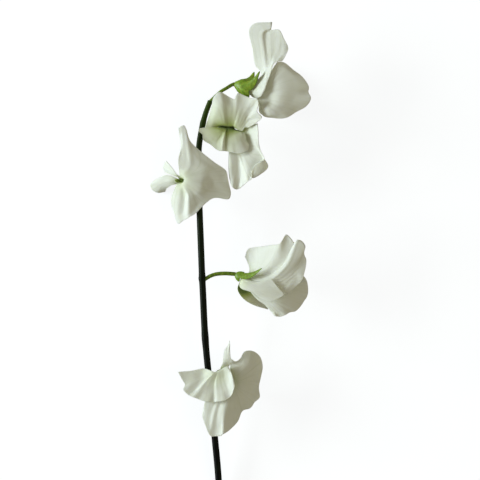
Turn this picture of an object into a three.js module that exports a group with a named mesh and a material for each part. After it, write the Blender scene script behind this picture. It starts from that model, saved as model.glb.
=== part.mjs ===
// Sweet pea: a cut stem with five white flowers, lying on a flat surface.
// Units are millimetres and +Z is up. The stem runs along Y, with its cut end at -Y.
// Flowers are numbered from the tip of the stem (1) down to the cut end (5).
import * as THREE from 'three';

// ---- Driving dimensions -------------------------------------------------------------
const PETAL_THICKNESS = 0.5;
const PETAL_STEPS = 10;         // rows of faces from the claw to the margin
const CALYX_WALL = 0.5;
const CALYX_TEETH = 5;
const CALYX_SIDES = 30;
const CALYX_NECK_RADIUS = 1.0;
const TOOTH_ROUNDNESS = 1.6;    // 1 is a straight-sided tooth
const STEM_SIDES = 12;
const STEM_STEPS = 44;
const PEDICEL_SIDES = 8;
const PEDICEL_STEPS = 10;

// Centre line of the main stem, from the cut end to the tip.
const STEM_LINE = [
  [-4.0, -126.9, 1.76], [-5.6, -110, 3.2], [-6.5, -97, 4.5], [-7.9, -82, 6.3], [-10.5, -55, 9.0],
  [-12.7, -32, 10.9], [-13.9, -8, 12.6], [-14.3, 0, 13.2], [-15.0, 18, 13.5], [-15.6, 34, 13.6],
  [-16.0, 50, 13.6], [-15.9, 64, 13.5], [-14.6, 73, 13.4], [-12.8, 80.5, 13.4], [-10.2, 87.6, 13.8],
];
const STEM_CUT_RADIUS = 1.65;
const STEM_TIP_RADIUS = 1.25;
const STEM_TAPER = 4;          // the stem keeps its thickness and narrows near the tip

const COLOURS = {
  petal: 0xdfe5d6,
  shadedPetal: 0xc4c7b2,
  calyx: 0x6f8f35,
  pedicel: 0x4b640d,
  stem: 0x1d2a10,
};

// ---- Flowers ------------------------------------------------------------------------
// A petal is a fan of ribs. Every rib starts on the claw, a short line inside the calyx,
// and its own points lead from there to the margin.

const tooth = (length, lean, bend = [0, 0, 0]) => ({ length, lean, bend });

const FLOWER_1 = {
  pedicel: { radii: [0.8, 0.85], line: [
    [-9.5, 88.8, 13.9], [-5, 92.2, 14.5], [-2, 94, 14.4], [0.2, 95.5, 13.8], [1.3, 96, 13.6]] },
  calyx: {
    base: [1.8, 96.1, 13.5], axis: [7.8, -2.4, 0], up: [0, 1, 0],
    length: 7.9, mouth: 4.3, teeth: [
      tooth(3.2, 0.1, [-1.8, 4.6, -1]), tooth(6.2, 0.1, [-1, 8.6, 2]), tooth(1.2, 0.3),
      tooth(1.2, 0.3), tooth(3.4, 0.1, [-0.6, 3, 0])] },
  petals: {
    standard: {
      claw: [[7.4, 96.8, 14.8], [7.4, 94.6, 16.6]],
      ribs: [
        [[10.3, 95, 16], [12.7, 97.2, 17.4], [15.4, 101, 17.3], [12.3, 105.4, 16],
         [10.9, 113.5, 15.1], [9.2, 123, 15], [11.6, 126, 15.8], [20.7, 126.8, 18.2]],
        [[10.6, 94.5, 16.5], [13.4, 96.7, 18], [16.1, 101.4, 18], [14, 106.4, 16.8],
         [12.8, 114, 15.9], [11.4, 121.8, 15.8], [13.4, 124.9, 16.5], [20.6, 125.8, 18.3]],
        [[10.9, 94, 17], [14, 96.1, 18.6], [16.7, 101.7, 18.6], [15.6, 107.2, 17.6],
         [14.8, 114.2, 16.7], [13.8, 120.6, 16.6], [15.2, 123.8, 17.1], [20.4, 124.6, 18.4]],
        [[11.2, 93.5, 17.3], [14.6, 95.5, 19.2], [17.2, 101.9, 19.2], [17, 107.6, 18.5],
         [16.6, 113.4, 17.5], [15.9, 119.2, 17.3], [16.5, 122.2, 17.5], [20.2, 123.5, 18.4]],
        [[11.4, 93, 17.6], [15.1, 94.9, 19.7], [17.7, 102, 19.7], [18.3, 108, 18.7],
         [17.8, 113.6, 17.4], [17.2, 119.2, 17.1], [17.8, 122.2, 17.2], [20.2, 122.8, 17.8]],
        [[11.5, 92.5, 17.7], [15.5, 94.3, 20.1], [18.1, 102, 20.1], [19.6, 107.4, 19.3],
         [19.8, 112.8, 17.9], [19.8, 117.8, 17.4], [19.9, 121.2, 17.3], [21.2, 122.9, 17.5]],
        [[11.6, 92, 17.7], [15.9, 93.6, 20.6], [18.5, 101.9, 20.5], [20.4, 106.8, 20],
         [21.7, 111.4, 18.6], [22.3, 116, 17.9], [22.5, 119.8, 17.7], [22.6, 123.1, 17.6]],
        [[11.6, 91.4, 17.5], [16.1, 92.8, 20.9], [18.8, 101.6, 20.8], [20.9, 106.6, 20.6],
         [22.9, 110.6, 19.5], [24.2, 114.6, 18.8], [24.6, 118.8, 18.4], [24.3, 122.8, 18.1]],
        [[11.5, 90.8, 17.1], [16.1, 91.9, 20.9], [19.1, 101.1, 21.1], [21.2, 106.4, 21],
         [23.6, 109.4, 20.4], [25.4, 112.2, 19.9], [26.2, 115.4, 19.5], [26.7, 118.2, 19.1]],
        [[11.3, 90.2, 16.4], [15.8, 90.9, 20.4], [19.3, 100.6, 21.4], [21.4, 106, 21.2],
         [23.8, 108.2, 21], [26, 109.8, 20.8], [27.4, 111.8, 20.6], [28.7, 113.5, 20.4]],
        [[10.9, 89.5, 15.4], [15.2, 89.8, 19.6], [19.5, 100, 21.6], [21.2, 105.5, 21.4],
         [23.2, 107, 21.4], [25.6, 107.2, 21.3], [26.6, 108.7, 21.2], [27.2, 110.2, 21]],
      ],
    },
    wing_right: {
      claw: [[7.6, 93.4, 14.2], [7.6, 92.2, 13.8]],
      ribs: [
        [[14, 95, 15.6], [18.6, 99, 19], [21.4, 104, 20.2], [23.2, 106.9, 20.2]],
        [[14.6, 94.4, 16.2], [20.6, 99.4, 20], [24.6, 104, 20.6], [26.6, 106.6, 20.1]],
        [[15.2, 93.6, 16.8], [22.2, 98.4, 20.6], [28, 102.2, 20.9], [31.6, 102.7, 20]],
        [[15.6, 92.6, 17.2], [23.6, 96.4, 20.9], [30.6, 98.6, 21.1], [35.6, 99.4, 20.2]],
        [[15.8, 91.6, 17.4], [24.2, 94.2, 21.1], [32.4, 95, 21.2], [38.9, 94.4, 20.4]],
        [[15.9, 90.8, 17.2], [24.4, 92.2, 21.1], [32.8, 92, 21.1], [38.8, 91.7, 20.5]],
        [[15.9, 90, 17], [24.2, 90, 21.1], [32.6, 89.4, 20.8], [40, 88.7, 20.3]],
        [[15.8, 89.2, 16.8], [23.6, 87.6, 20.9], [31, 86.4, 20.5], [37.6, 84.6, 19.8]],
        [[15.6, 88.4, 16.8], [22.4, 85.4, 20.7], [28, 83.6, 20.3], [32.6, 81.8, 19.2]],
        [[15.2, 87.7, 16.8], [20.4, 84, 20.6], [24.8, 81.4, 20.4], [28.2, 79.3, 19.2]],
        [[14.8, 87.2, 16.6], [18.4, 83.4, 20.4], [21.6, 80.8, 20.5], [24.2, 78.5, 19.4]],
        [[14.5, 87, 16.4], [16.8, 83.4, 19.7], [18.4, 80.9, 20], [19.6, 79.1, 19.4]],
        [[14.3, 87, 16], [15.4, 83.8, 18.6], [15.9, 81.8, 18.9], [16.2, 80, 18.6]],
        [[14.2, 87.1, 15.4], [14.6, 85, 17.2], [14.7, 83.6, 17.5], [14.8, 82, 17.4]],
      ],
    },
  },
  farWing: { name: 'wing_left', of: 'wing_right', plane: 13, depth: 1.47, inset: 0.92 },
  keel: { base: [8, 93.2, 13], along: [0.96, -0.28, -0.1], side: [0, 0, 1],
    length: 17, depth: 3.6, halfWidth: 1.1 },
};

const FLOWER_2 = {
  pedicel: { radii: [0.8, 0.85], line: [
    [-13.7, 70.6, 11.5], [-12, 71.2, 8.6], [-9, 72.6, 5.2], [-6, 73.8, 3.2], [-3.6, 74.4, 3.2]] },
  calyx: {
    base: [-2.6, 74.6, 4], axis: [1.6, 0, 7], up: [0, 1, 0],
    length: 3.9, mouth: 3.4, teeth: Array(CALYX_TEETH).fill(tooth(0.5, 0.3)) },
  petals: {
    standard: {
      claw: [[-3.8, 75.5, 6.9], [-0.2, 75.5, 6.9]],
      ribs: [
        [[-4.9, 75, 12.3], [-5.2, 74.9, 13.8], [-8.6, 74, 15], [-13.1, 73.4, 14.6]],
        [[-4.7, 75.3, 13.5], [-5, 75.3, 15.4], [-8.3, 76.8, 15.8], [-12.2, 76.3, 14.6]],
        [[-4.6, 75.1, 13.2], [-4.5, 75.6, 16], [-7.4, 80.3, 16.8], [-10.9, 80.4, 14.8]],
        [[-3.9, 74.9, 13.7], [-3.9, 75.8, 16.3], [-5.9, 83.2, 17.4], [-9.6, 85, 15.2]],
        [[-3.2, 74.8, 14.2], [-3.3, 75.8, 16.4], [-4.9, 84.6, 17.8], [-8.6, 89, 15.9]],
        [[-2.5, 74.8, 14.7], [-2.6, 75.8, 16.4], [-3.8, 85, 17.9], [-5.6, 91.9, 16.6]],
        [[-1.7, 74.8, 15.1], [-1.8, 75.8, 16.3], [-2, 84.5, 17.7], [-2.9, 90.8, 16.8]],
        [[-0.9, 74.8, 15.4], [-0.8, 75.8, 16.2], [-0.2, 84, 17.6], [0.4, 88.8, 16.7]],
        [[0.1, 74.9, 15.6], [0.2, 75.7, 16.2], [1.6, 83.8, 17.7], [1.9, 88.2, 16.9]],
        [[1, 74.9, 15.6], [1.2, 75.6, 16.2], [3.2, 84, 18], [3.4, 91.4, 17.5]],
        [[1.3, 75.5, 14.2], [2.1, 75.4, 16.2], [5.2, 83.6, 18.1], [6.8, 90.2, 17.9]],
        [[1.9, 75.4, 14.2], [2.9, 75.3, 16.2], [6.9, 82.8, 18.1], [9.8, 88.9, 18.7]],
        [[2.5, 75.3, 14.2], [3.6, 75.2, 16.2], [8.4, 82.2, 18.2], [13.4, 88.6, 20.6]],
        [[3, 75.3, 14.2], [4.2, 75.1, 16.2], [9, 80.8, 18], [13.7, 86, 21.4]],
        [[3.6, 75.1, 14.2], [4.8, 74.9, 16.2], [9.2, 79, 17.8], [13.1, 82, 20.9]],
        [[3.9, 74.9, 14.2], [5.2, 74.7, 16.2], [9.4, 77.4, 17.7], [15.7, 79.3, 20.8]],
        [[4.1, 74.6, 14.2], [5.4, 74.3, 16.2], [8.2, 75.7, 17.5], [12.6, 76.5, 19.9]],
        [[4.1, 74.2, 14.3], [5.3, 73.8, 16.2], [6.8, 74.1, 17], [8.8, 74.2, 18.2]],
      ],
    },
    wing_right: {
      claw: [[-3.9, 74.1, 7.1], [-3.4, 73.3, 7.1]],
      ribs: [
        [[-6.4, 74.5, 16.6], [-10.5, 74.3, 16.8], [-15.4, 73.9, 16.2]],
        [[-5.8, 74, 17.2], [-10.6, 72.8, 17.3], [-16, 72.3, 16]],
        [[-5.2, 73.9, 17.6], [-10, 71, 17.6], [-14.2, 70.8, 16.3]],
        [[-4.6, 73.7, 17.8], [-9, 69.2, 17.8], [-13.7, 68, 16.4]],
        [[-4, 73.5, 17.8], [-7.6, 67.8, 17.9], [-10, 65.6, 16.7]],
        [[-3.5, 73.4, 17.8], [-6.1, 67.2, 18], [-7.2, 63.3, 17]],
        [[-3.1, 73.3, 17.8], [-4.9, 67, 18.6], [-5.4, 62.5, 17.6]],
        [[-2.8, 73.2, 18], [-3.8, 67, 19.7], [-4.3, 62.4, 18.7]],
        [[-2.4, 73.1, 18], [-2.9, 67, 19.5], [-2.6, 62.4, 18.6]],
      ],
    },
    wing_left: {
      claw: [[0.5, 74.6, 7.9], [0.4, 73.9, 8.1]],
      ribs: [
        [[3.8, 73, 13], [8.6, 75.2, 15.6], [13.6, 76, 18.4]],
        [[5.2, 71.2, 14], [9.4, 72, 17], [13.7, 72, 20.8]],
        [[6, 69.2, 14.8], [10, 67.8, 17.6], [13.6, 67.4, 20.8]],
        [[6.2, 67.4, 15.2], [10.4, 63.8, 18], [13.6, 63.3, 19.6], [14.8, 63, 20.4]],
        [[6.2, 65.6, 15.6], [10.6, 60.4, 19], [16, 59.2, 20.6], [16.9, 58.8, 21.4]],
        [[6, 64.2, 15.8], [10.6, 58, 19.7], [18.5, 54.6, 21], [16.6, 57.9, 22.8]],
        [[5.5, 63, 16], [9.8, 55.6, 20.1], [15, 51, 20.8], [13.2, 56.5, 22.7]],
        [[5, 62.2, 16.1], [8.8, 53.6, 20.2], [11.4, 49, 20.3], [10.9, 53.2, 22]],
        [[4.6, 61.6, 16.2], [8, 52.2, 19.8], [9.6, 49.2, 20.1], [10.1, 48.3, 20.6]],
        [[4.3, 61, 16.4], [7.4, 51.6, 19.4], [8.4, 48.8, 19.8], [8.8, 47.5, 19.9]],
        [[3.9, 60.6, 16.5], [5.9, 51.5, 17.4], [6.4, 45.2, 17.5]],
        [[3.4, 60.4, 16.5], [4.5, 52, 16.4], [4.5, 43.8, 16.4]],
        [[2.6, 60.4, 16.5], [2.6, 52, 16.4], [2.8, 43.2, 16.4]],
        [[1.2, 60.6, 16.5], [0.8, 52, 16.6], [1.2, 44.1, 16.4]],
        [[0, 61.2, 16.3], [-0.2, 52, 16.4], [-0.1, 46.4, 16]],
        [[-1, 62, 15.6], [-1.1, 55, 15.6], [-0.8, 48.8, 15.2]],
      ],
    },
    keel: {
      claw: [[-2.6, 73.1, 7.1], [-1.5, 73, 7.1]],
      ribs: [
        [[-2.2, 72.8, 16.6], [-3.2, 67, 18], [-2.6, 62.3, 17.4]],
        [[-1.2, 73.2, 17.2], [-1.5, 67.2, 18.6], [0.2, 61.9, 18.3]],
        [[0.6, 73.7, 17.5], [1.2, 67.4, 19.2], [3, 61.2, 18.9]],
        [[3.2, 73.8, 17.7], [4, 67.4, 19.5], [5.6, 61.4, 19.2]],
        [[5.4, 73.1, 17.7], [6.6, 67.2, 19.2], [8.4, 62.9, 19.1]],
        [[6.9, 72.5, 17.2], [8, 67.2, 18.4], [9.2, 65.6, 18.3]],
      ],
    },
  },
};

const FLOWER_3 = {
  pedicel: { radii: [0.8, 0.85], line: [
    [-17.1, 37.8, 11], [-17.6, 39.6, 9.4], [-17.8, 42, 8.4], [-17.7, 44.6, 8.1], [-18, 46.4, 8.5]] },
  calyx: {
    base: [-18.6, 47, 8.9], axis: [-1, 0.06, 0.32], up: [0, 0, 1],
    length: 4.4, mouth: 2.7, teeth: [
      tooth(0.4, 0.1), tooth(0.8, 0.1), tooth(3, 0.3),
      tooth(3, 0.3), tooth(0.8, 0.1)] },
  petals: {
    standard: {
      claw: [[-22.7, 48.2, 11.7], [-22.7, 46.6, 11.7]],
      ribs: [
        [[-25.2, 49.8, 13.8], [-25.9, 53.5, 16], [-26.3, 57.5, 16.8],
         [-24.9, 65, 17.2], [-26.1, 73.9, 17.2]],
        [[-24.8, 50, 15], [-24.6, 55.5, 16.9], [-24.4, 61, 17.4],
         [-23.9, 67, 18.4], [-24.6, 74.9, 17.9]],
        [[-24.4, 50.1, 15.8], [-22.6, 55.5, 17.4], [-22.2, 60.5, 18],
         [-22.6, 66.5, 18.9], [-23.3, 75.2, 18.4]],
        [[-24, 50, 16.3], [-20.6, 55, 18], [-20.6, 60, 18.6], [-21.4, 66, 19], [-22, 73, 18.6]],
        [[-23.7, 49.8, 16.6], [-18.8, 54, 18], [-18, 58.4, 18.5],
         [-18.8, 62.5, 18.6], [-20.4, 67.6, 18.4]],
        [[-23.4, 49.5, 16.8], [-17, 53, 18.1], [-14.8, 56, 18.4],
         [-14.4, 58.8, 18.2], [-15.8, 62.9, 18]],
        [[-23.2, 49.2, 16.9], [-15.7, 51.8, 18.2], [-11.5, 53.8, 18.2],
         [-9.8, 55.6, 17.8], [-8.2, 56.8, 17.4]],
        [[-23, 48.9, 17], [-15.3, 50.4, 18.3], [-10, 51.4, 17.7], [-6, 51.8, 17.1], [-2.3, 52.6, 16.6]],
        [[-22.9, 48.5, 17.1], [-15, 48.4, 18.8], [-9.5, 48.6, 17.4],
         [-5.5, 48.4, 16.9], [-1.4, 48.7, 16.2]],
        [[-22.9, 48.1, 17.1], [-14.9, 46.6, 19], [-10, 46, 17.1], [-6.5, 46.4, 17], [-0.9, 45.9, 15.8]],
        [[-23, 47.7, 17.1], [-15.1, 44.8, 18.8], [-10.6, 43.6, 17], [-6, 43.2, 16.3], [0.1, 41, 15.8]],
        [[-23.1, 47.3, 17], [-15.9, 43.2, 18.4], [-11.8, 41.6, 17], [-7, 40.6, 16.4], [-1, 38.5, 16.4]],
        [[-23.3, 46.9, 16.9], [-17, 42.2, 18.1], [-13.8, 40, 17.4],
         [-11, 39.2, 16.8], [-8.4, 39, 16.4]],
        [[-23.6, 46.5, 16.7], [-18.6, 41.6, 17.9], [-16.4, 38.6, 17.4],
         [-14.8, 37, 17], [-13, 36, 16.6]],
        [[-24, 46.2, 16.2], [-20.2, 41, 17.9], [-19.2, 36.5, 17.6],
         [-18.6, 33.6, 17], [-17.6, 31.2, 16.6]],
        [[-24.4, 46, 15.6], [-21.4, 40.8, 17.8], [-21.2, 36, 17.6],
         [-21.2, 32.5, 16.9], [-21.4, 29, 15.8]],
        [[-24.8, 45.9, 14.8], [-22.9, 40.8, 15.4], [-23, 35.5, 14.8],
         [-23.2, 31.5, 13.8], [-23.6, 27.8, 12.4]],
        [[-25.4, 45.8, 13.9], [-25.4, 40.8, 14.8], [-26, 35, 13.8],
         [-26.3, 30.5, 12], [-26, 26.3, 9.4]],
        [[-26.1, 45.9, 13.2], [-27.6, 41, 13.4], [-28.3, 35, 12], [-28, 31, 10.4], [-27.5, 27.6, 8.6]],
        [[-26.4, 46.3, 12.6], [-28.6, 42.4, 12.4], [-29.9, 38, 11],
         [-29.4, 34.6, 9.8], [-28.4, 31.2, 8.8]],
      ],
    },
    wing_right: {
      claw: [[-23.2, 48.6, 10.8], [-23.2, 48.1, 10.1]],
      ribs: [
        [[-26.9, 50.9, 13.6], [-28.6, 53.2, 13], [-32.2, 57.6, 9.6]],
        [[-27.1, 50.6, 13.4], [-29.6, 53, 12], [-33.2, 56.6, 7.8]],
        [[-27.3, 50.2, 12.8], [-30.6, 52.2, 10.4], [-33.8, 54.6, 6.2]],
        [[-27.6, 49.8, 12], [-30.8, 51, 9], [-33.2, 52.2, 5.4]],
      ],
    },
    wing_left: {
      claw: [[-23.6, 46.6, 9.2], [-23.6, 46, 8.8]],
      ribs: [
        [[-28, 49.4, 10.2], [-32.6, 50.6, 8.4], [-37.4, 48.4, 3.4]],
        [[-28.4, 48.8, 10], [-34, 48.8, 7], [-40.4, 45.8, 1.2]],
        [[-28.8, 47.8, 9.8], [-34.2, 46.8, 6.2], [-39.8, 43.6, 0.9]],
        [[-28.9, 46.8, 9.2], [-33.6, 45, 5.2], [-36.8, 41.9, 0.9]],
        [[-28.6, 45.8, 8.6], [-32, 43.9, 4.6], [-33, 42.2, 0.9]],
      ],
    },
  },
  keel: { base: [-23.6, 47.5, 11.2], along: [-1, 0.06, 0.1], side: [0, 1, 0],
    length: 6, depth: 1, halfWidth: 0.9 },
};

const FLOWER_4 = {
  pedicel: { radii: [0.95, 0.95], line: [
    [-12.2, -1.3, 13.2], [-10, 0.1, 13.6], [-7, 1, 13.8], [-3, 1.3, 13.9], [1.7, 1.2, 14]] },
  calyx: {
    base: [2.2, 1, 14], axis: [5, -2.4, 0], up: [0, 1, 0],
    length: 3, mouth: 2.7, teeth: [
      tooth(0.8, 0.2), tooth(10, 0.3, [0.8, 7, 1.6]), tooth(0.5, 0.3),
      tooth(0.5, 0.3), tooth(0.8, 0.1)] },
  petals: {
    standard: {
      claw: [[5, 0.9, 13], [5.2, 0.5, 14.4]],
      ribs: [
        [[9, 1.6, 11.8], [9.4, 4, 11], [8.4, 7, 10], [7.3, 9.6, 9.6]],
        [[9.6, 1.8, 12.6], [10.6, 5, 12.2], [9.6, 9.4, 11.2], [8.6, 13.4, 10.8]],
        [[10.4, 1.9, 13.6], [12.6, 5.6, 13.8], [12.4, 10, 13.2], [11.6, 14.4, 12.6]],
        [[11.2, 1.9, 14.4], [14.8, 6, 15.4], [15.8, 10.4, 15.6], [16, 14.9, 15.2]],
        [[12.2, 1.8, 15.2], [17, 6, 17], [19.4, 10.6, 18], [20.6, 15.6, 18.2]],
        [[13, 1.6, 15.8], [19, 5.6, 18.4], [22.4, 10.6, 20], [24.4, 16.1, 20.8]],
        [[13.6, 1.3, 16.2], [20.4, 5, 19], [24.2, 10.6, 20.7], [25.8, 18.2, 21.3]],
        [[14, 0.9, 16.5], [21.4, 4.2, 19.2], [26, 10.4, 21], [27.7, 20.8, 21.4]],
        [[14.3, 0.4, 16.7], [22.2, 3.4, 19.4], [27.8, 10, 21.1], [30.2, 18.6, 21.4]],
        [[14.3, -0.6, 17.2], [21.6, 1.6, 19.6], [28, 8.2, 21.2], [31.6, 16.6, 21.4]],
        [[14, -1.7, 18.4], [20.6, 0.2, 20.4], [27, 6.6, 21.8], [32, 17.4, 22]],
        [[14.4, -2.6, 19.2], [21.4, -0.6, 21.3], [27.9, 5.8, 22.8], [32.9, 18.1, 22.8]],
        [[15, -3.2, 19.2], [22.8, -1.2, 21.3], [29.6, 5.2, 22.8], [35, 17.8, 22.6]],
        [[15.6, -3.6, 19.2], [24.2, -1.8, 21.2], [31.2, 4.2, 22.5], [37.2, 15, 22.4]],
        [[16, -4, 19.1], [25.2, -2.6, 21.1], [32.2, 3.2, 22.3], [36.6, 11.2, 22.6]],
        [[16.2, -4.3, 19.1], [25.8, -3.4, 21], [32.6, 2, 22.1], [37.7, 8, 22.4]],
        [[16.2, -4.6, 19], [26.2, -4.4, 20.9], [32.8, 0.6, 21.9], [36.7, 1.6, 22.2]],
        [[16, -4.9, 18.9], [26.4, -5.8, 20.7], [31.8, -2, 21.6], [35.4, -2.2, 21.6]],
        [[15.8, -5.1, 18.8], [26, -7.2, 20.5], [29.6, -5.2, 21.1], [32, -5.6, 21]],
        [[15.6, -5.3, 18.7], [24.6, -7.8, 20.2], [26.8, -8.2, 20.4], [28.2, -9, 20.2]],
      ],
    },
    wing_right: {
      claw: [[5.2, -0.6, 15.4], [5.1, -1.3, 15]],
      ribs: [
        [[10.6, -2.4, 18.6], [14.5, -2.9, 20.2], [17.5, -2.2, 21.2], [20.4, -1.5, 21.9]],
        [[9.4, -2.4, 18.6], [14.5, -4.2, 20.4], [18.5, -4, 21.2], [22.3, -3.9, 22]],
        [[8, -2.3, 18.4], [14, -5.5, 20.2], [19.5, -6.1, 21.3], [24.6, -6.6, 21.9]],
        [[6.8, -2.3, 17.9], [13, -6.4, 20], [19.5, -8.1, 21.1], [26.6, -9.2, 21.7]],
        [[5.9, -2.6, 17.5], [11.5, -6.8, 19.5], [18.5, -9.5, 20.6], [24, -11, 21.2]],
        [[5.4, -3.3, 17], [9.8, -6.9, 18.9], [16.5, -10.2, 20.1], [21.6, -12.1, 20.6]],
        [[4.9, -4.2, 16.4], [7.6, -6.7, 18], [13, -9, 19.2], [18, -12.3, 19.6]],
        [[4.5, -5, 15.6], [5.4, -6.3, 16.6], [10.2, -7.9, 18.1], [14.6, -10.7, 18.6]],
      ],
    },
    wing_left: {
      claw: [[5, -0.6, 13.2], [4.8, -1.2, 13.4]],
      ribs: [
        [[13, -1.6, 9], [19, 0.4, 3.4], [27, 1.6, 1], [34, 1.4, 6.6]],
        [[13.6, -3.6, 10.6], [21.6, -2, 9.6], [29, -0.6, 10.6], [36.9, -0.4, 13]],
        [[14, -5.6, 11.6], [23.2, -4.6, 13.2], [30.6, -3.6, 14.6], [38.2, -3, 14]],
        [[14, -7.2, 13.2], [24.2, -7.6, 15.6], [31.2, -7.6, 15.8], [38.4, -9.2, 14]],
        [[13.8, -8.4, 14], [24.2, -10.2, 16.4], [30.6, -11.4, 15.8], [36.2, -13.4, 13.8]],
        [[13.6, -9.4, 14.3], [23.4, -12.6, 16.6], [28.4, -14.8, 16], [32.2, -17.6, 14.4]],
        [[13.4, -10, 14.4], [22.2, -14, 16.4], [26.4, -16.8, 16], [29.6, -18.2, 15.2]],
        [[13.2, -10.6, 14.3], [20.6, -14.8, 15.8], [24.4, -18, 15.6], [27, -19.5, 15.2]],
        [[13, -11, 14.2], [19, -15, 15.2], [22.2, -18.2, 15.2], [24.4, -20.4, 15]],
        [[13, -11.2, 14], [17.6, -14.6, 14.7], [20.2, -17.4, 14.8], [22, -19.7, 14.6]],
        [[13, -11.4, 13.8], [16.6, -13.9, 14.2], [18.5, -16, 14.3], [20.2, -18.2, 14.2]],
      ],
    },
    keel: {
      claw: [[4.9, -2, 12.8], [4.9, -2.1, 12.2]],
      ribs: [
        [[4.8, -5.4, 13.4], [8.5, -7, 13], [13, -8.8, 11.6], [17.6, -13.6, 10.8]],
        [[4.2, -6, 13.4], [8.4, -9, 12.7], [12.6, -11.4, 11.2], [18, -15.2, 10.4]],
        [[3.8, -6.4, 13.6], [7.2, -10.4, 13.2], [11.6, -13.2, 11.2], [18.4, -16.2, 10.4]],
        [[3.5, -6.6, 14], [6, -11, 14], [11, -14.3, 12.4], [18.7, -16.6, 11.2]],
      ],
    },
  },
};

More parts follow.
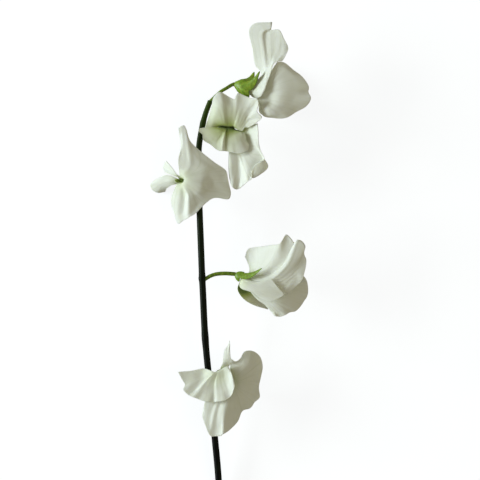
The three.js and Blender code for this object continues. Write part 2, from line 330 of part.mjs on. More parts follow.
const FLOWER_5 = {
  pedicel: { radii: [0.8, 0.85], line: [
    [-9.2, -54.3, 6.4], [-8.4, -53.9, 5], [-7.4, -53.2, 4], [-6.4, -52.4, 3.4], [-5.5, -51.6, 3.4]] },
  calyx: {
    base: [-4.6, -50.6, 4.6], axis: [0.05, 0.1, 1], up: [1, 0, 0],
    length: 3.6, mouth: 3.3, teeth: Array(CALYX_TEETH).fill(tooth(0.5, 0.3)) },
  petals: {
    standard: {
      claw: [[-2.8, -51, 8.5], [-3.6, -51.9, 8.6]],
      ribs: [
        [[-0.8, -48.5, 11.8], [-0.2, -44.5, 13.4], [0, -41.2, 13.2]],
        [[0.4, -48.5, 12.4], [2, -45.2, 14.2], [2.4, -42.7, 13.8]],
        [[1.4, -48.8, 12.6], [4.4, -44.8, 14.6], [4.5, -41.4, 14]],
        [[2.4, -49.2, 12.8], [6.4, -43.6, 14.8], [6.8, -37.8, 13.6]],
        [[3.2, -49.8, 12.8], [9, -43.6, 14.6], [10.6, -37.4, 12.8]],
        [[3.8, -50.6, 12.8], [11.2, -44.4, 13.6], [14.3, -40.1, 11]],
        [[4.2, -51.6, 12.6], [12, -46.8, 12.2], [15.7, -45, 9]],
        [[4.4, -52.8, 12.4], [11.6, -50.4, 11.2], [15, -50.2, 7]],
        [[4.4, -54, 12.3], [11.2, -54.6, 10], [14.3, -55.8, 4.6]],
        [[4.2, -55.2, 12.3], [10.6, -58, 9.4], [14.5, -61, 0.9]],
        [[3.8, -56.2, 12.4], [9, -60.6, 9.8], [11.6, -63.4, 4]],
        [[3.2, -57, 12.7], [7.4, -62.4, 11.2], [9.6, -66.3, 6.8]],
        [[2.4, -57.8, 13], [5, -64.2, 12.6], [6, -67.8, 10]],
        [[1.2, -58.4, 13.2], [2.4, -66, 13.8], [3.6, -72.8, 11.4]],
        [[-0.2, -58.8, 13.4], [-0.6, -67.4, 14.8], [-0.6, -76.9, 13]],
        [[-1.8, -59, 13.4], [-3.4, -68.4, 15.6], [-3.6, -78.9, 14.4]],
        [[-2.8, -59, 13.2], [-4.9, -68.6, 15], [-5, -80, 13.7]],
        [[-3.8, -58.8, 13], [-6.6, -68.4, 14.2], [-7.4, -80.2, 12.9]],
        [[-4.8, -58.6, 12.9], [-8.2, -68, 14], [-9.5, -80.3, 12.6]],
        [[-5.8, -58.2, 12.7], [-9.6, -67.6, 13.3], [-10.8, -79.2, 12.3]],
        [[-6.8, -57.6, 12.6], [-11.6, -66.8, 12.9], [-13, -74, 12.3]],
        [[-7.8, -56.8, 12.5], [-12.8, -64.8, 12.6], [-14.4, -69.6, 12.1]],
        [[-8.4, -55.8, 12.4], [-12.6, -61.6, 12.4], [-13.4, -64.2, 11.8]],
      ],
    },
    wing_right: {
      claw: [[-4.2, -48, 8.4], [-3.4, -48, 8.4]],
      ribs: [
        [[-5.2, -46.2, 12.2], [-4, -43.4, 14.6], [-3.6, -39.6, 15.4], [-3.2, -37.2, 15.6]],
        [[-4.2, -45.8, 12.6], [-3.2, -42.8, 15.1], [-2.8, -39, 15.9], [-2.5, -36.2, 15.9]],
        [[-3.1, -45.3, 12.9], [-2.4, -42.4, 15.5], [-2, -38.6, 16.3], [-1.6, -34.9, 16.2]],
        [[-2.1, -44.8, 13.3], [-1.6, -42.1, 15.8], [-1.2, -38.2, 16.6], [-0.6, -32.3, 16.5]],
        [[-1.2, -44.3, 13.9], [-0.8, -42, 16], [-0.6, -38.6, 16.8], [-0.5, -34.4, 16.6]],
        [[-0.2, -43.9, 14.5], [0.1, -42.3, 16.1], [-0.2, -39.6, 16.8], [-0.5, -36.8, 16.7]],
      ],
    },
    wing_left: {
      claw: [[-5.9, -49.6, 8.6], [-5.3, -50.2, 8.6]],
      ribs: [
        [[-8.6, -47.9, 15.2], [-13.5, -46.3, 12.2], [-19.5, -47.4, 11.9], [-26.5, -48, 11.6]],
        [[-8.4, -48, 15.5], [-13.8, -48.8, 12.5], [-19, -50, 12.4], [-24.6, -51.6, 12.2]],
        [[-8.2, -48.1, 15.6], [-13.9, -50.6, 12.8], [-18.4, -52.6, 12.8], [-23, -54.4, 12.8]],
        [[-8, -48.1, 15.6], [-13.7, -51.8, 13.1], [-18, -54.8, 13], [-23.8, -56.8, 13]],
        [[-7.7, -48, 15.6], [-13.1, -52.4, 13.6], [-16.9, -56.2, 13.2], [-20.8, -59.8, 12.8]],
        [[-7.4, -47.9, 15.6], [-12.2, -52.4, 14.6], [-15.4, -56.4, 14.5], [-18, -60.9, 13.8]],
        [[-7, -47.8, 15.6], [-11, -52.6, 14.8], [-13.2, -57, 14.6], [-14.8, -62.2, 14.2]],
        [[-6.6, -47.7, 15.6], [-9.6, -52.8, 14.9], [-10.8, -57.4, 14.8], [-11.4, -63, 14.4]],
        [[-6.2, -47.5, 15.6], [-8.2, -52.8, 15], [-8.6, -57.4, 15], [-8.6, -62.9, 14.8]],
        [[-5.8, -47.3, 15.6], [-7, -52.6, 15.6], [-6.8, -57.4, 15.9], [-7.2, -62.8, 15.8]],
        [[-5.2, -47, 15.6], [-5.4, -52.2, 15.9], [-4.6, -57.2, 16.4], [-4.2, -62.5, 16.4]],
        [[-4.5, -46.7, 15.6], [-3.8, -51.6, 16.2], [-2.6, -56.6, 16.9], [-1.8, -61.6, 17]],
        [[-3.8, -46.3, 15.6], [-2.4, -50.6, 16.6], [-1.2, -55.4, 17.4], [-0.2, -60.2, 17.6]],
        [[-3, -45.8, 15.8], [-1.2, -49.4, 17.4], [0.2, -53.8, 18.6], [1.3, -58, 18.9]],
        [[-2.2, -45.4, 15.8], [-0.4, -48, 17.8], [1, -51.6, 19.5], [1.9, -55, 19.8]],
        [[-1.4, -45.2, 15.6], [-0.3, -47, 17.4], [0.6, -49.2, 19.1], [1.4, -51.6, 19.7]],
      ],
    },
  },
  keel: { base: [-4.6, -50.9, 9.2], along: [-0.25, -0.5, 0.83], side: [1, 0, 0],
    length: 4.2, depth: 0.9, halfWidth: 0.6 },
};

const FLOWERS = [FLOWER_1, FLOWER_2, FLOWER_3, FLOWER_4, FLOWER_5];

// ---- Helpers ------------------------------------------------------------------------
const vector = ([x, y, z]) => new THREE.Vector3(x, y, z);

const smoothLine = (points) => new THREE.CatmullRomCurve3(points, false, 'centripetal');

function finish(colour, roughness) {
  return new THREE.MeshStandardMaterial({ color: colour, roughness, metalness: 0 });
}

function namedMesh(name, geometry, material) {
  const mesh = new THREE.Mesh(geometry, material);
  mesh.name = name;
  return mesh;
}

// Moves every vertex of a geometry to place(vertex).
function reshape(geometry, place) {
  const positions = geometry.attributes.position;
  const vertex = new THREE.Vector3();
  for (let index = 0; index < positions.count; index += 1) {
    vertex.fromBufferAttribute(positions, index);
    const moved = place(vertex);
    positions.setXYZ(index, moved.x, moved.y, moved.z);
  }
  geometry.computeVertexNormals();
  return geometry;
}

// ---- Petals -------------------------------------------------------------------------
// A smooth surface through the ribs: u runs from the claw to the margin, v across the ribs.
function petalSurface({ claw, ribs }) {
  const [clawStart, clawEnd] = claw.map(vector);
  const lines = ribs.map((rib, index) => {
    const root = clawStart.clone().lerp(clawEnd, index / (ribs.length - 1));
    return smoothLine([root, ...rib.map(vector)]);
  });
  return (u, v) => smoothLine(lines.map((line) => line.getPoint(u))).getPoint(v);
}

// A petal's solid is a thin box bent onto its surface.
function petalGeometry(petal) {
  const surface = petalSurface(petal);
  const across = petal.ribs.length - 1;
  const step = 0.01;
  const sheet = new THREE.BoxGeometry(1, 1, PETAL_THICKNESS, PETAL_STEPS, across, 1);
  return reshape(sheet, (vertex) => {
    const u = THREE.MathUtils.clamp(vertex.x + 0.5, 0, 1);
    const v = THREE.MathUtils.clamp(vertex.y + 0.5, 0, 1);
    const outward = surface(Math.min(u + step, 1), v).sub(surface(Math.max(u - step, 0), v));
    const sideways = surface(u, Math.min(v + step, 1)).sub(surface(u, Math.max(v - step, 0)));
    const normal = outward.cross(sideways).normalize();
    return surface(u, v).addScaledVector(normal, vertex.z);
  });
}

function mirroredPetal(petal, { plane, depth, inset }) {
  const anchor = petal.claw[0];
  const mirror = ([x, y, z]) => [
    anchor[0] + (x - anchor[0]) * inset,
    anchor[1] + (y - anchor[1]) * inset,
    plane - (z - plane) * depth,
  ];
  return {
    claw: petal.claw.map(([x, y, z]) => [x, y, 2 * plane - z]),
    ribs: petal.ribs.map((rib) => rib.map(mirror)),
  };
}

// The keel is a narrow boat: two sides that meet in a rounded fold below.
function keelPetal({ base, along, side, length, depth, halfWidth }) {
  const forward = vector(along).normalize();
  const across = vector(side).normalize();
  const down = forward.clone().cross(across).normalize();
  const sections = [[0.3, 0.6, 0.7], [0.7, 1.0, 1.0], [1.0, 0.45, 0.4]];
  const turns = [-1, -0.5, 0, 0.5, 1];
  const place = (reach, sideways, sink) => vector(base)
    .addScaledVector(forward, reach * length)
    .addScaledVector(across, sideways * halfWidth)
    .addScaledVector(down, sink * depth)
    .toArray();
  return {
    claw: [place(0, -0.4, 0), place(0, 0.4, 0)],
    ribs: turns.map((turn) => sections.map(([reach, width, sink]) => (
      place(reach, Math.sin(turn * Math.PI / 2) * width, Math.cos(turn * Math.PI / 2) * sink)))),
  };
}

// ---- Calyx --------------------------------------------------------------------------
// A thin green cup, turned about its axis, whose rim is drawn out into five teeth.
function calyxGeometry({ base, axis, up, length, mouth, teeth }) {
  const profile = [
    [0, 0], [CALYX_NECK_RADIUS, 0.3], [mouth * 0.72, length * 0.34], [mouth * 0.95, length * 0.7],
    [mouth, length], [mouth - CALYX_WALL, length], [mouth * 0.95 - CALYX_WALL, length * 0.7],
    [mouth * 0.72 - CALYX_WALL, length * 0.38], [0, length * 0.2],
  ].map(([radius, height]) => new THREE.Vector2(radius, height));
  const forward = vector(axis).normalize();
  const side = forward.clone().cross(vector(up)).normalize();
  const top = side.clone().cross(forward).normalize();
  const cup = new THREE.LatheGeometry(profile, CALYX_SIDES);
  return reshape(cup, (vertex) => {
    const angle = Math.atan2(vertex.x, vertex.z);
    const turn = (angle / (2 * Math.PI) + 1) * CALYX_TEETH + 0.5;
    const { length: drawn, lean, bend } = teeth[Math.floor(turn) % CALYX_TEETH];
    const offCentre = Math.abs((turn % 1) - 0.5) * 2;
    const share = vertex.y > length * 0.99 ? 1 - offCentre ** TOOTH_ROUNDNESS : 0;
    const radius = Math.hypot(vertex.x, vertex.z) + lean * drawn * share;
    return vector(base)
      .addScaledVector(forward, vertex.y + drawn * share)
      .addScaledVector(top, Math.cos(angle) * radius)
      .addScaledVector(side, Math.sin(angle) * radius)
      .addScaledVector(vector(bend), share ** 2);
  });
}

// ---- Stem and pedicels ---------------------------------------------------------------
// A round stalk along a line. A taper of 1 is even; a higher one keeps the start's thickness.
function stalkGeometry(points, startRadius, endRadius, sides, steps, taper = 1) {
  const line = smoothLine(points.map(vector));
  const frames = line.computeFrenetFrames(steps);
  const stalk = new THREE.CylinderGeometry(1, 1, 1, sides, steps);
  return reshape(stalk, (vertex) => {
    const along = THREE.MathUtils.clamp(vertex.y + 0.5, 0, 1);
    const station = Math.round(along * steps);
    const radius = THREE.MathUtils.lerp(startRadius, endRadius, along ** taper);
    return line.getPointAt(along)
      .addScaledVector(frames.normals[station], vertex.z * radius)
      .addScaledVector(frames.binormals[station], vertex.x * radius);
  });
}

// ---- Assembly ------------------------------------------------------------------------
function buildFlower(flower, number) {
  const group = new THREE.Group();
  const { pedicel, calyx, petals, farWing, keel } = flower;
  const stalk = stalkGeometry(pedicel.line, ...pedicel.radii, PEDICEL_SIDES, PEDICEL_STEPS);
  group.add(namedMesh(`pedicel_${number}`, stalk, finish(COLOURS.pedicel, 0.55)));
  group.add(namedMesh(`calyx_${number}`, calyxGeometry(calyx), finish(COLOURS.calyx, 0.6)));
  const all = { ...petals };
  if (farWing) all[farWing.name] = mirroredPetal(petals[farWing.of], farWing);
  if (keel) all.keel = keelPetal(keel);
  for (const [name, petal] of Object.entries(all)) {
    const colour = name === 'standard' ? COLOURS.petal : COLOURS.shadedPetal;
    group.add(namedMesh(`${name}_${number}`, petalGeometry(petal), finish(colour, 0.65)));
  }
  return group;
}

const sweetPea = new THREE.Group();
const stem = stalkGeometry(
  STEM_LINE, STEM_CUT_RADIUS, STEM_TIP_RADIUS, STEM_SIDES, STEM_STEPS, STEM_TAPER);
sweetPea.add(namedMesh('stem', stem, finish(COLOURS.stem, 0.5)));
FLOWERS.forEach((flower, index) => sweetPea.add(buildFlower(flower, index + 1)));

export default sweetPea;
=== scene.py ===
"""Sweet pea: one cut stem with five white flowers, lying on a pale studio floor.

Lengths in the dataclasses are millimetres in the part's own frame: +Z up from the floor and
+Y along the stem. Meshes are made in metres.
"""

from __future__ import annotations

import logging
import math
from collections.abc import Sequence
from dataclasses import dataclass
from enum import Enum

import bmesh
import bpy
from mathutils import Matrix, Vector, noise


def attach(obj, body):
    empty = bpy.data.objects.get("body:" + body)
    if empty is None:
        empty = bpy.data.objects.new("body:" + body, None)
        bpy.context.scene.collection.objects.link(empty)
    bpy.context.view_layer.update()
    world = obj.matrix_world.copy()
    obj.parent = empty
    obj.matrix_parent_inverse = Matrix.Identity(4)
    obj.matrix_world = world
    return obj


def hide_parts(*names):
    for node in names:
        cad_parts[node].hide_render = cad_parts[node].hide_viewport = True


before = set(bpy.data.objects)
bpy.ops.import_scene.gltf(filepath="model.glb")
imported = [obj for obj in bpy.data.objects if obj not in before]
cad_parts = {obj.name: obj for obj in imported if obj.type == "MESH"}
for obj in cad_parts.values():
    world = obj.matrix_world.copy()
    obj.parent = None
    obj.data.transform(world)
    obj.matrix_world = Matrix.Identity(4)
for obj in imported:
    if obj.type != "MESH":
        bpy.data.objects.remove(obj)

LOG = logging.getLogger("sweet_pea")
MM = 0.001
BODY = "root"
PETAL_UV = "petal"

# Least square root of the distance between two neighbouring points of a smooth line.
SHORT_SPAN = 1e-4
# Where the throat ends on the petal's colour ramp, and the mm of blade that fill a whole ramp.
THROAT_SHARE = 0.15
BLADE_LENGTH = 32.0

# Ridges round a stalk, and how far they rise as a share of its radius.
RIDGES = 5
RIDGE_SHARE = 0.025

# Rings of a calyx cup as shares of its length. Its width goes at even steps from 0 over the neck
# to these shares of the mouth, and the cup starts just inside the neck.
CUP_RINGS = (0.04, 0.12, 0.22, 0.34, 0.46, 0.58, 0.7, 0.8, 0.88, 0.94, 1.0)
CUP_WIDTHS = (0.72, 0.95, 1.0)
CUP_START = 0.22
# Where the teeth start to rise, how slowly they narrow, and how near two points are one.
TEETH_START = 0.35
TOOTH_POWER = 1.6
MERGE_MM = 0.0001

# Sections of a keel as shares of its length, half width and depth. Its ribs go from one upper
# edge over the fold, 0, to the other, and its claw is a share of the half width.
KEEL_SECTIONS = ((0.3, 0.6, 0.7), (0.7, 1.0, 1.0), (1.0, 0.45, 0.4))
KEEL_TURNS = (-1.0, -0.5, 0.0, 0.5, 1.0)
KEEL_CLAW = 0.4

Point = tuple[float, float, float]
Ribs = tuple[tuple[Point, ...], ...]
Socket = bpy.types.NodeSocket


class Slot(Enum):
    """The record's material slots."""

    STEM = "stem"
    PEDICEL = "pedicel"
    CALYX = "calyx"
    PETAL = "petal"


# ---- Curves and small tools ----


def along_spline(points: Sequence[Vector], position: float) -> Vector:
    """Return a place on the smooth line through some points.

    Args:
        points: The points, in order. The line is a centripetal Catmull-Rom spline, which
            keeps its shape where some points lie much closer together than others.
        position: 0 at the first point and 1 at the last, with equal steps between points.

    Returns:
        The place on the line.
    """
    last = len(points) - 1
    scaled = min(max(position, 0.0), 1.0) * last
    index = min(int(scaled), last - 1)
    t = scaled - index
    start = points[index]
    end = points[index + 1]
    before = points[index - 1] if index > 0 else start * 2 - end
    after = points[index + 2] if index < last - 1 else end * 2 - start
    span = max(math.sqrt((end - start).length), SHORT_SPAN)
    span_before = max(math.sqrt((start - before).length), SHORT_SPAN)
    span_after = max(math.sqrt((after - end).length), SHORT_SPAN)
    middle = (end - start) / span
    leave = (start - before) / span_before - (end - before) / (span_before + span) + middle
    arrive = middle - (after - start) / (span + span_after) + (after - end) / span_after
    leave = leave * span
    arrive = arrive * span
    bend = start * 2 - end * 2 + leave + arrive
    turn = end * 3 - start * 3 - leave * 2 - arrive
    return bend * t**3 + turn * t**2 + leave * t + start


def blend_step(low: float, high: float, value: float) -> float:
    """Return 0 below low, 1 above high, and a smooth rise between them."""
    t = min(max((value - low) / (high - low), 0.0), 1.0)
    return t * t * (3 - 2 * t)


def vectors(points: Sequence[Point]) -> list[Vector]:
    """Return points as vectors."""
    return [Vector(point) for point in points]


def linear_colour(code: str) -> tuple[float, float, float, float]:
    """Turn an sRGB hex colour, # and six digits, into linear red, green, blue and alpha 1."""
    channels = [int(code[place : place + 2], 16) / 255 for place in (1, 3, 5)]
    linear = [c / 12.92 if c <= 0.04045 else ((c + 0.055) / 1.055) ** 2.4 for c in channels]
    return (linear[0], linear[1], linear[2], 1.0)


def linked_object(
    name: str, shape: bmesh.types.BMesh, material: bpy.types.Material
) -> bpy.types.Object:
    """Turn a bmesh into an object in the scene, and free the bmesh."""
    mesh = bpy.data.meshes.new(name)
    shape.to_mesh(mesh)
    shape.free()
    mesh.materials.append(material)
    piece = bpy.data.objects.new(name, mesh)
    bpy.context.scene.collection.objects.link(piece)
    return piece


def finished_piece(
    name: str, shape: bmesh.types.BMesh, material: bpy.types.Material, node: str
) -> bpy.types.Object:
    """Turn a bmesh into a smooth object that stands for a CAD node.

    Args:
        name: The new object's name.
        shape: The mesh, in metres and in place. It is freed here.
        material: The finish of the whole piece.
        node: The CAD node that the piece stands for.

    Returns:
        The object, linked to the scene and riding on the part's body.
    """
    for face in shape.faces:
        face.smooth = True
    piece = linked_object(name, shape, material)
    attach(piece, BODY)
    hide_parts(node)
    return piece


def add_wall(piece: bpy.types.Object, thickness: float, offset: float) -> None:
    """Give a sheet its thickness in mm, to both sides at offset 0 and inwards at -1."""
    wall = piece.modifiers.new("thickness", "SOLIDIFY")
    wall.thickness = thickness * MM
    wall.offset = offset


# ---- Finishes ----


@dataclass(frozen=True)
class Grain:
    """Noise between 0 and 1, in patches of a size in mm, or in steps of the UV map it reads.

    Detail counts finer layers and roughness is their strength. Scale packs it along each axis.
    """

    size: float
    detail: float
    roughness: float = 0.5
    warp: float = 0.0
    scale: Point = (1.0, 1.0, 1.0)
    uv_map: str = ""


@dataclass(frozen=True)
class Course:
    """A coordinate along a piece, from 0 to 1 between two places on one axis."""

    axis: str
    start: float
    end: float
    uv_map: str = ""


@dataclass(frozen=True)
class Layer:
    """A colour laid over the others: its share rises over a span of the grain's noise."""

    colour: str
    grain: Grain
    span: tuple[float, float]
    share: float


class Shading:
    """A new material's node tree, with shorthands for the nodes that finishes share."""

    def __init__(self, name: str) -> None:
        """Make the material.

        Args:
            name: The material's name.
        """
        self.material = bpy.data.materials.new(name)
        self.material.use_nodes = True
        self.tree = self.material.node_tree
        self.grains: dict[Grain, Socket] = {}

    def feed(self, node: bpy.types.Node, inputs: dict[str | int, object]) -> None:
        """Set input sockets, each from a constant or from the output socket that feeds it."""
        for key, value in inputs.items():
            if isinstance(value, bpy.types.NodeSocket):
                self.tree.links.new(value, node.inputs[key])
            else:
                node.inputs[key].default_value = value

    def node(
        self, kind: str, output: str | int, inputs: dict[str | int, object], **settings: object
    ) -> Socket:
        """Add one shader node.

        Args:
            kind: The node's type name, such as ShaderNodeBump.
            output: The output socket that is wanted.
            inputs: Input sockets and what they take.
            **settings: Attributes of the node itself.

        Returns:
            The output socket.
        """
        node = self.tree.nodes.new(kind)
        for key, value in settings.items():
            setattr(node, key, value)
        self.feed(node, inputs)
        return node.outputs[output]

    def place(self, uv_map: str) -> Socket:
        """Return the coordinates of a UV map or, without one, of the part's own frame."""
        if uv_map:
            return self.node("ShaderNodeUVMap", "UV", {}, uv_map=uv_map)
        return self.node("ShaderNodeTexCoord", "Object", {})

    def grain(self, grain: Grain) -> Socket:
        """Return a grain's noise. Each grain is made once for a material."""
        if grain not in self.grains:
            place = {"Vector": self.place(grain.uv_map), "Scale": grain.scale}
            size = grain.size if grain.uv_map else grain.size * MM
            inputs = {
                "Vector": self.node("ShaderNodeMapping", "Vector", place),
                "Scale": 1.0 / size,
                "Detail": grain.detail,
                "Roughness": grain.roughness,
                "Distortion": grain.warp,
            }
            self.grains[grain] = self.node("ShaderNodeTexNoise", "Fac", inputs)
        return self.grains[grain]

    def course(self, course: Course) -> Socket:
        """Return a course's value."""
        place = self.node("ShaderNodeSeparateXYZ", course.axis, {0: self.place(course.uv_map)})
        return self.ranged(place, (course.start, course.end), 1.0)

    def ranged(self, value: Socket, span: tuple[float, float], most: float) -> Socket:
        """Return a value stretched from a span to the range from 0 to most."""
        inputs = {"Value": value, "From Min": span[0], "From Max": span[1], "To Max": most}
        return self.node("ShaderNodeMapRange", "Result", inputs)

    def ramp(self, source: Socket, stops: Sequence[tuple[float, str]]) -> Socket:
        """Return the colour of a ramp, with positions and hex colours in rising order."""
        colour = self.node("ShaderNodeValToRGB", "Color", {"Fac": source})
        elements = colour.node.color_ramp.elements
        while len(elements) < len(stops):
            elements.new(0.5)
        for element, (position, code) in zip(elements, stops):
            element.position = position
            element.color = linear_colour(code)
        return colour


@dataclass(frozen=True)
class Finish:
    """One material: a ramp of colours that reads a guide, layers over it, and a fine relief.

    Stops are the ramp's positions and hex colours. Bump is the relief's strength, and depth
    its depth in mm.
    """

    name: str
    guide: Grain | Course
    stops: tuple[tuple[float, str], ...]
    shader: dict[str, object]
    layers: tuple[Layer, ...] = ()
    relief: Grain | None = None
    bump: float = 0.4
    depth: float = 0.05

    def material(self) -> bpy.types.Material:
        """Return the material, made of shader nodes."""
        shading = Shading(self.name)
        read = shading.grain if isinstance(self.guide, Grain) else shading.course
        colour = shading.ramp(read(self.guide), self.stops)
        for layer in self.layers:
            share = shading.ranged(shading.grain(layer.grain), layer.span, layer.share)
            inputs = {0: share, 6: colour, 7: linear_colour(layer.colour)}
            colour = shading.node("ShaderNodeMix", 2, inputs, data_type="RGBA")
        surface = {"Base Color": colour, **self.shader}
        if self.relief:
            height = shading.grain(self.relief)
            inputs = {"Height": height, "Strength": self.bump, "Distance": self.depth * MM}
            surface["Normal"] = shading.node("ShaderNodeBump", "Normal", inputs)
        shading.feed(shading.tree.nodes["Principled BSDF"], surface)
        return shading.material


# Fresh petal: thin, moist cells that scatter light softly, with fine fanning veins. The ramp
# runs over claw, throat, base, blade and margin.
VEINS = Grain(1.0, 3.0, roughness=0.6, warp=0.35, scale=(1.6, 46.0, 1.0), uv_map=PETAL_UV)
PETAL_FINISH = Finish(
    "white petal tissue",
    guide=Course("X", 0.0, 1.0, PETAL_UV),
    stops=(
        (0.09, "#5F7A1C"), (0.14, "#AEBE6C"), (0.2, "#DDE4C4"), (0.36, "#F3F5EB"), (1.0, "#F8FAF2"),
    ),
    shader={
        "Roughness": 0.52,
        "Specular IOR Level": 0.3,
        "Subsurface Weight": 0.35,
        "Subsurface Radius": (1.0, 0.95, 0.75),
        "Subsurface Scale": 1.2 * MM,
        "Sheen Weight": 0.12,
    },
    layers=(
        Layer("#D3D9C2", VEINS, span=(0.52, 0.72), share=0.4),
        Layer("#DDE4C4", Grain(7.0, 2.0), span=(0.3, 0.7), share=0.16),
    ),
    relief=VEINS,
    bump=0.5,
)

# Smooth waxy rind of the main stalk, olive near the tip and darkening to nearly black low down: that
# darkening is painted shade.
STREAKS = Grain(0.8, 3.0, scale=(1.0, 0.06, 1.0))
STEM_FINISH = Finish(
    "waxy green stem",
    guide=Course("Y", -60.0 * MM, 88.0 * MM),
    # The ramp darkens to near-black towards the cut end: painted shade, not the rind's own green.
    stops=((0.0, "#020305"), (0.45, "#0B1307"), (0.85, "#1E2C09"), (1.0, "#34490F")),
    shader={"Roughness": 0.5, "Specular IOR Level": 0.12},
    layers=(Layer("#324720", STREAKS, span=(0.45, 0.8), share=0.22),),
    relief=STREAKS,
    depth=0.06,
)

TISSUE = Grain(1.1, 4.0, roughness=0.6)


def green_finish(name: str, dark: str, middle: str, light: str) -> Finish:
    """Return the satin, softly mottled finish of young green tissue in three greens."""
    return Finish(
        name,
        guide=TISSUE,
        stops=((0.3, dark), (0.5, middle), (0.72, light)),
        shader={"Roughness": 0.45, "Subsurface Weight": 0.2, "Subsurface Scale": 0.6 * MM},
        relief=TISSUE,
        depth=0.08,
    )


FINISHES = {
    Slot.STEM: STEM_FINISH,
    Slot.PEDICEL: green_finish("fresh green pedicel", "#3E560B", "#6A8714", "#8CA62C"),
    Slot.CALYX: green_finish("ribbed green calyx", "#5F7C18", "#7F9D28", "#9EBB3E"),
    Slot.PETAL: PETAL_FINISH,
}

# Pale seamless studio sheet that stays nearly white, with faint shadows.
FLOOR_FINISH = Finish(
    "pale studio sheet",
    guide=Grain(40.0, 2.0),
    stops=((0.0, "#A9A9A7"), (1.0, "#B2B2B0")),
    shader={
        "Roughness": 0.95,
        "Specular IOR Level": 0.0,
        "Emission Color": linear_colour("#F2F4F8"),
        "Emission Strength": 0.9,
    },
)


# ---- Petals ----


@dataclass(frozen=True)
class Ruffle:
    """The waves of a petal's margin and the weak pleats that lead to them.

    Waves and pleats are counted from side to side. Wander and crinkle are noise steps across
    and along the petal. Starts and full are shares of the way to the margin.
    """

    waves: float = 5.0
    height_mm: float = 0.35
    pleats: float = 11.0
    pleat_mm: float = 0.03
    wander: tuple[float, float] = (3.1, 1.7)
    crinkle: tuple[float, float] = (14.0, 5.0)
    wave_start: float = 0.55
    pleat_start: float = 0.15
    pleat_full: float = 0.6

    def lift(self, reach: float, across: float) -> float:
        """Return the ruffle's height in mm at a place on the petal."""
        drift = noise.noise(Vector((across * self.wander[0], reach * self.wander[1], 0.0)))
        edge = blend_step(self.wave_start, 1.0, reach) ** 2
        wave = math.sin(2 * math.pi * (self.waves * across + 0.5 * drift))
        pleat = math.sin(2 * math.pi * (self.pleats * across + drift))
        fine = noise.noise(Vector((across * self.crinkle[0], reach * self.crinkle[1], 0.0)))
        spread = blend_step(self.pleat_start, self.pleat_full, reach)
        return self.height_mm * edge * wave + self.pleat_mm * spread * (pleat + fine)


WAVY = Ruffle()
CALM = Ruffle(waves=2.0, height_mm=0.12, pleats=5.0, pleat_mm=0.02)


@dataclass(frozen=True)
class Petal:
    """One petal: a thin sheet through a fan of ribs that all start on the claw.

    The throat is the distance from the claw, in mm, that stays green. Rows are mesh steps
    along the ribs, and columns across them.
    """

    name: str
    claw: tuple[Point, Point]
    ribs: Ribs
    ruffle: Ruffle = WAVY
    throat: float = 4.0
    thickness: float = 0.28
    rows: int = 64
    columns: int = 112

    def surface_row(self, reach: float) -> list[Vector]:
        """Return the points, one for each rib, at a share of the way from the claw."""
        first, last = vectors(self.claw)
        count = len(self.ribs) - 1
        roots = (first.lerp(last, index / count) for index in range(count + 1))
        return [along_spline([root, *vectors(rib)], reach) for root, rib in zip(roots, self.ribs)]

    def build(self, number: int, material: bpy.types.Material) -> bpy.types.Object:
        """Make the petal as a closed thin sheet.

        Args:
            number: The flower's number.
            material: The petal finish.

        Returns:
            The finished petal.
        """
        sheet = bmesh.new()
        bmesh.ops.create_grid(sheet, x_segments=self.rows, y_segments=self.columns, size=0.5)
        uv_layer = sheet.loops.layers.uv.new(PETAL_UV)
        place: dict[bmesh.types.BMVert, tuple[float, float]] = {}
        crossings: dict[int, list[Vector]] = {}
        for vertex in sheet.verts:
            reach = min(max(vertex.co.x + 0.5, 0.0), 1.0)
            across = min(max(vertex.co.y + 0.5, 0.0), 1.0)
            row = round(reach * self.rows)
            if row not in crossings:
                crossings[row] = self.surface_row(reach)
            place[vertex] = (reach, across)
            vertex.co = along_spline(crossings[row], across) * MM
        heart = (Vector(self.claw[0]) + Vector(self.claw[1])) / 2
        for face in sheet.faces:
            for loop in face.loops:
                beyond = (loop.vert.co / MM - heart).length - self.throat
                grown = THROAT_SHARE + beyond / BLADE_LENGTH
                loop[uv_layer].uv = (min(max(grown, 0.0), 1.0), place[loop.vert][1])
        sheet.normal_update()
        facing = sum((face.normal * face.calc_area() for face in sheet.faces), Vector())
        side = 1.0 if facing.z >= 0 else -1.0
        for vertex, (reach, across) in place.items():
            vertex.co += vertex.normal * (side * self.ruffle.lift(reach, across) * MM)
        node = f"{self.name}_{number}"
        piece = finished_piece(f"petal_{node}", sheet, material, node)
        add_wall(piece, self.thickness, offset=0.0)
        return piece


@dataclass(frozen=True)
class Keel:
    """A narrow boat of two grown-together petals, between the wings."""

    base: Point
    along: Point
    side: Point
    length: float
    depth: float
    half_width: float

    def petal(self) -> Petal:
        """Return the keel as a petal whose ribs wrap round the fold below."""
        forward = Vector(self.along).normalized()
        across = Vector(self.side).normalized()
        down = forward.cross(across).normalized()

        def place(reach: float, sideways: float, sink: float) -> Point:
            """Return a point of the keel from its share of length, width and depth."""
            spot = Vector(self.base) + forward * (reach * self.length)
            spot += across * (sideways * self.half_width) + down * (sink * self.depth)
            return (spot.x, spot.y, spot.z)

        ribs = tuple(
            tuple(
                place(
                    reach,
                    math.sin(turn * math.pi / 2) * width,
                    math.cos(turn * math.pi / 2) * sink,
                )
                for reach, width, sink in KEEL_SECTIONS
            )
            for turn in KEEL_TURNS
        )
        claw = (place(0, -KEEL_CLAW, 0), place(0, KEEL_CLAW, 0))
        return Petal("keel", claw, ribs, ruffle=CALM, rows=32, columns=32)


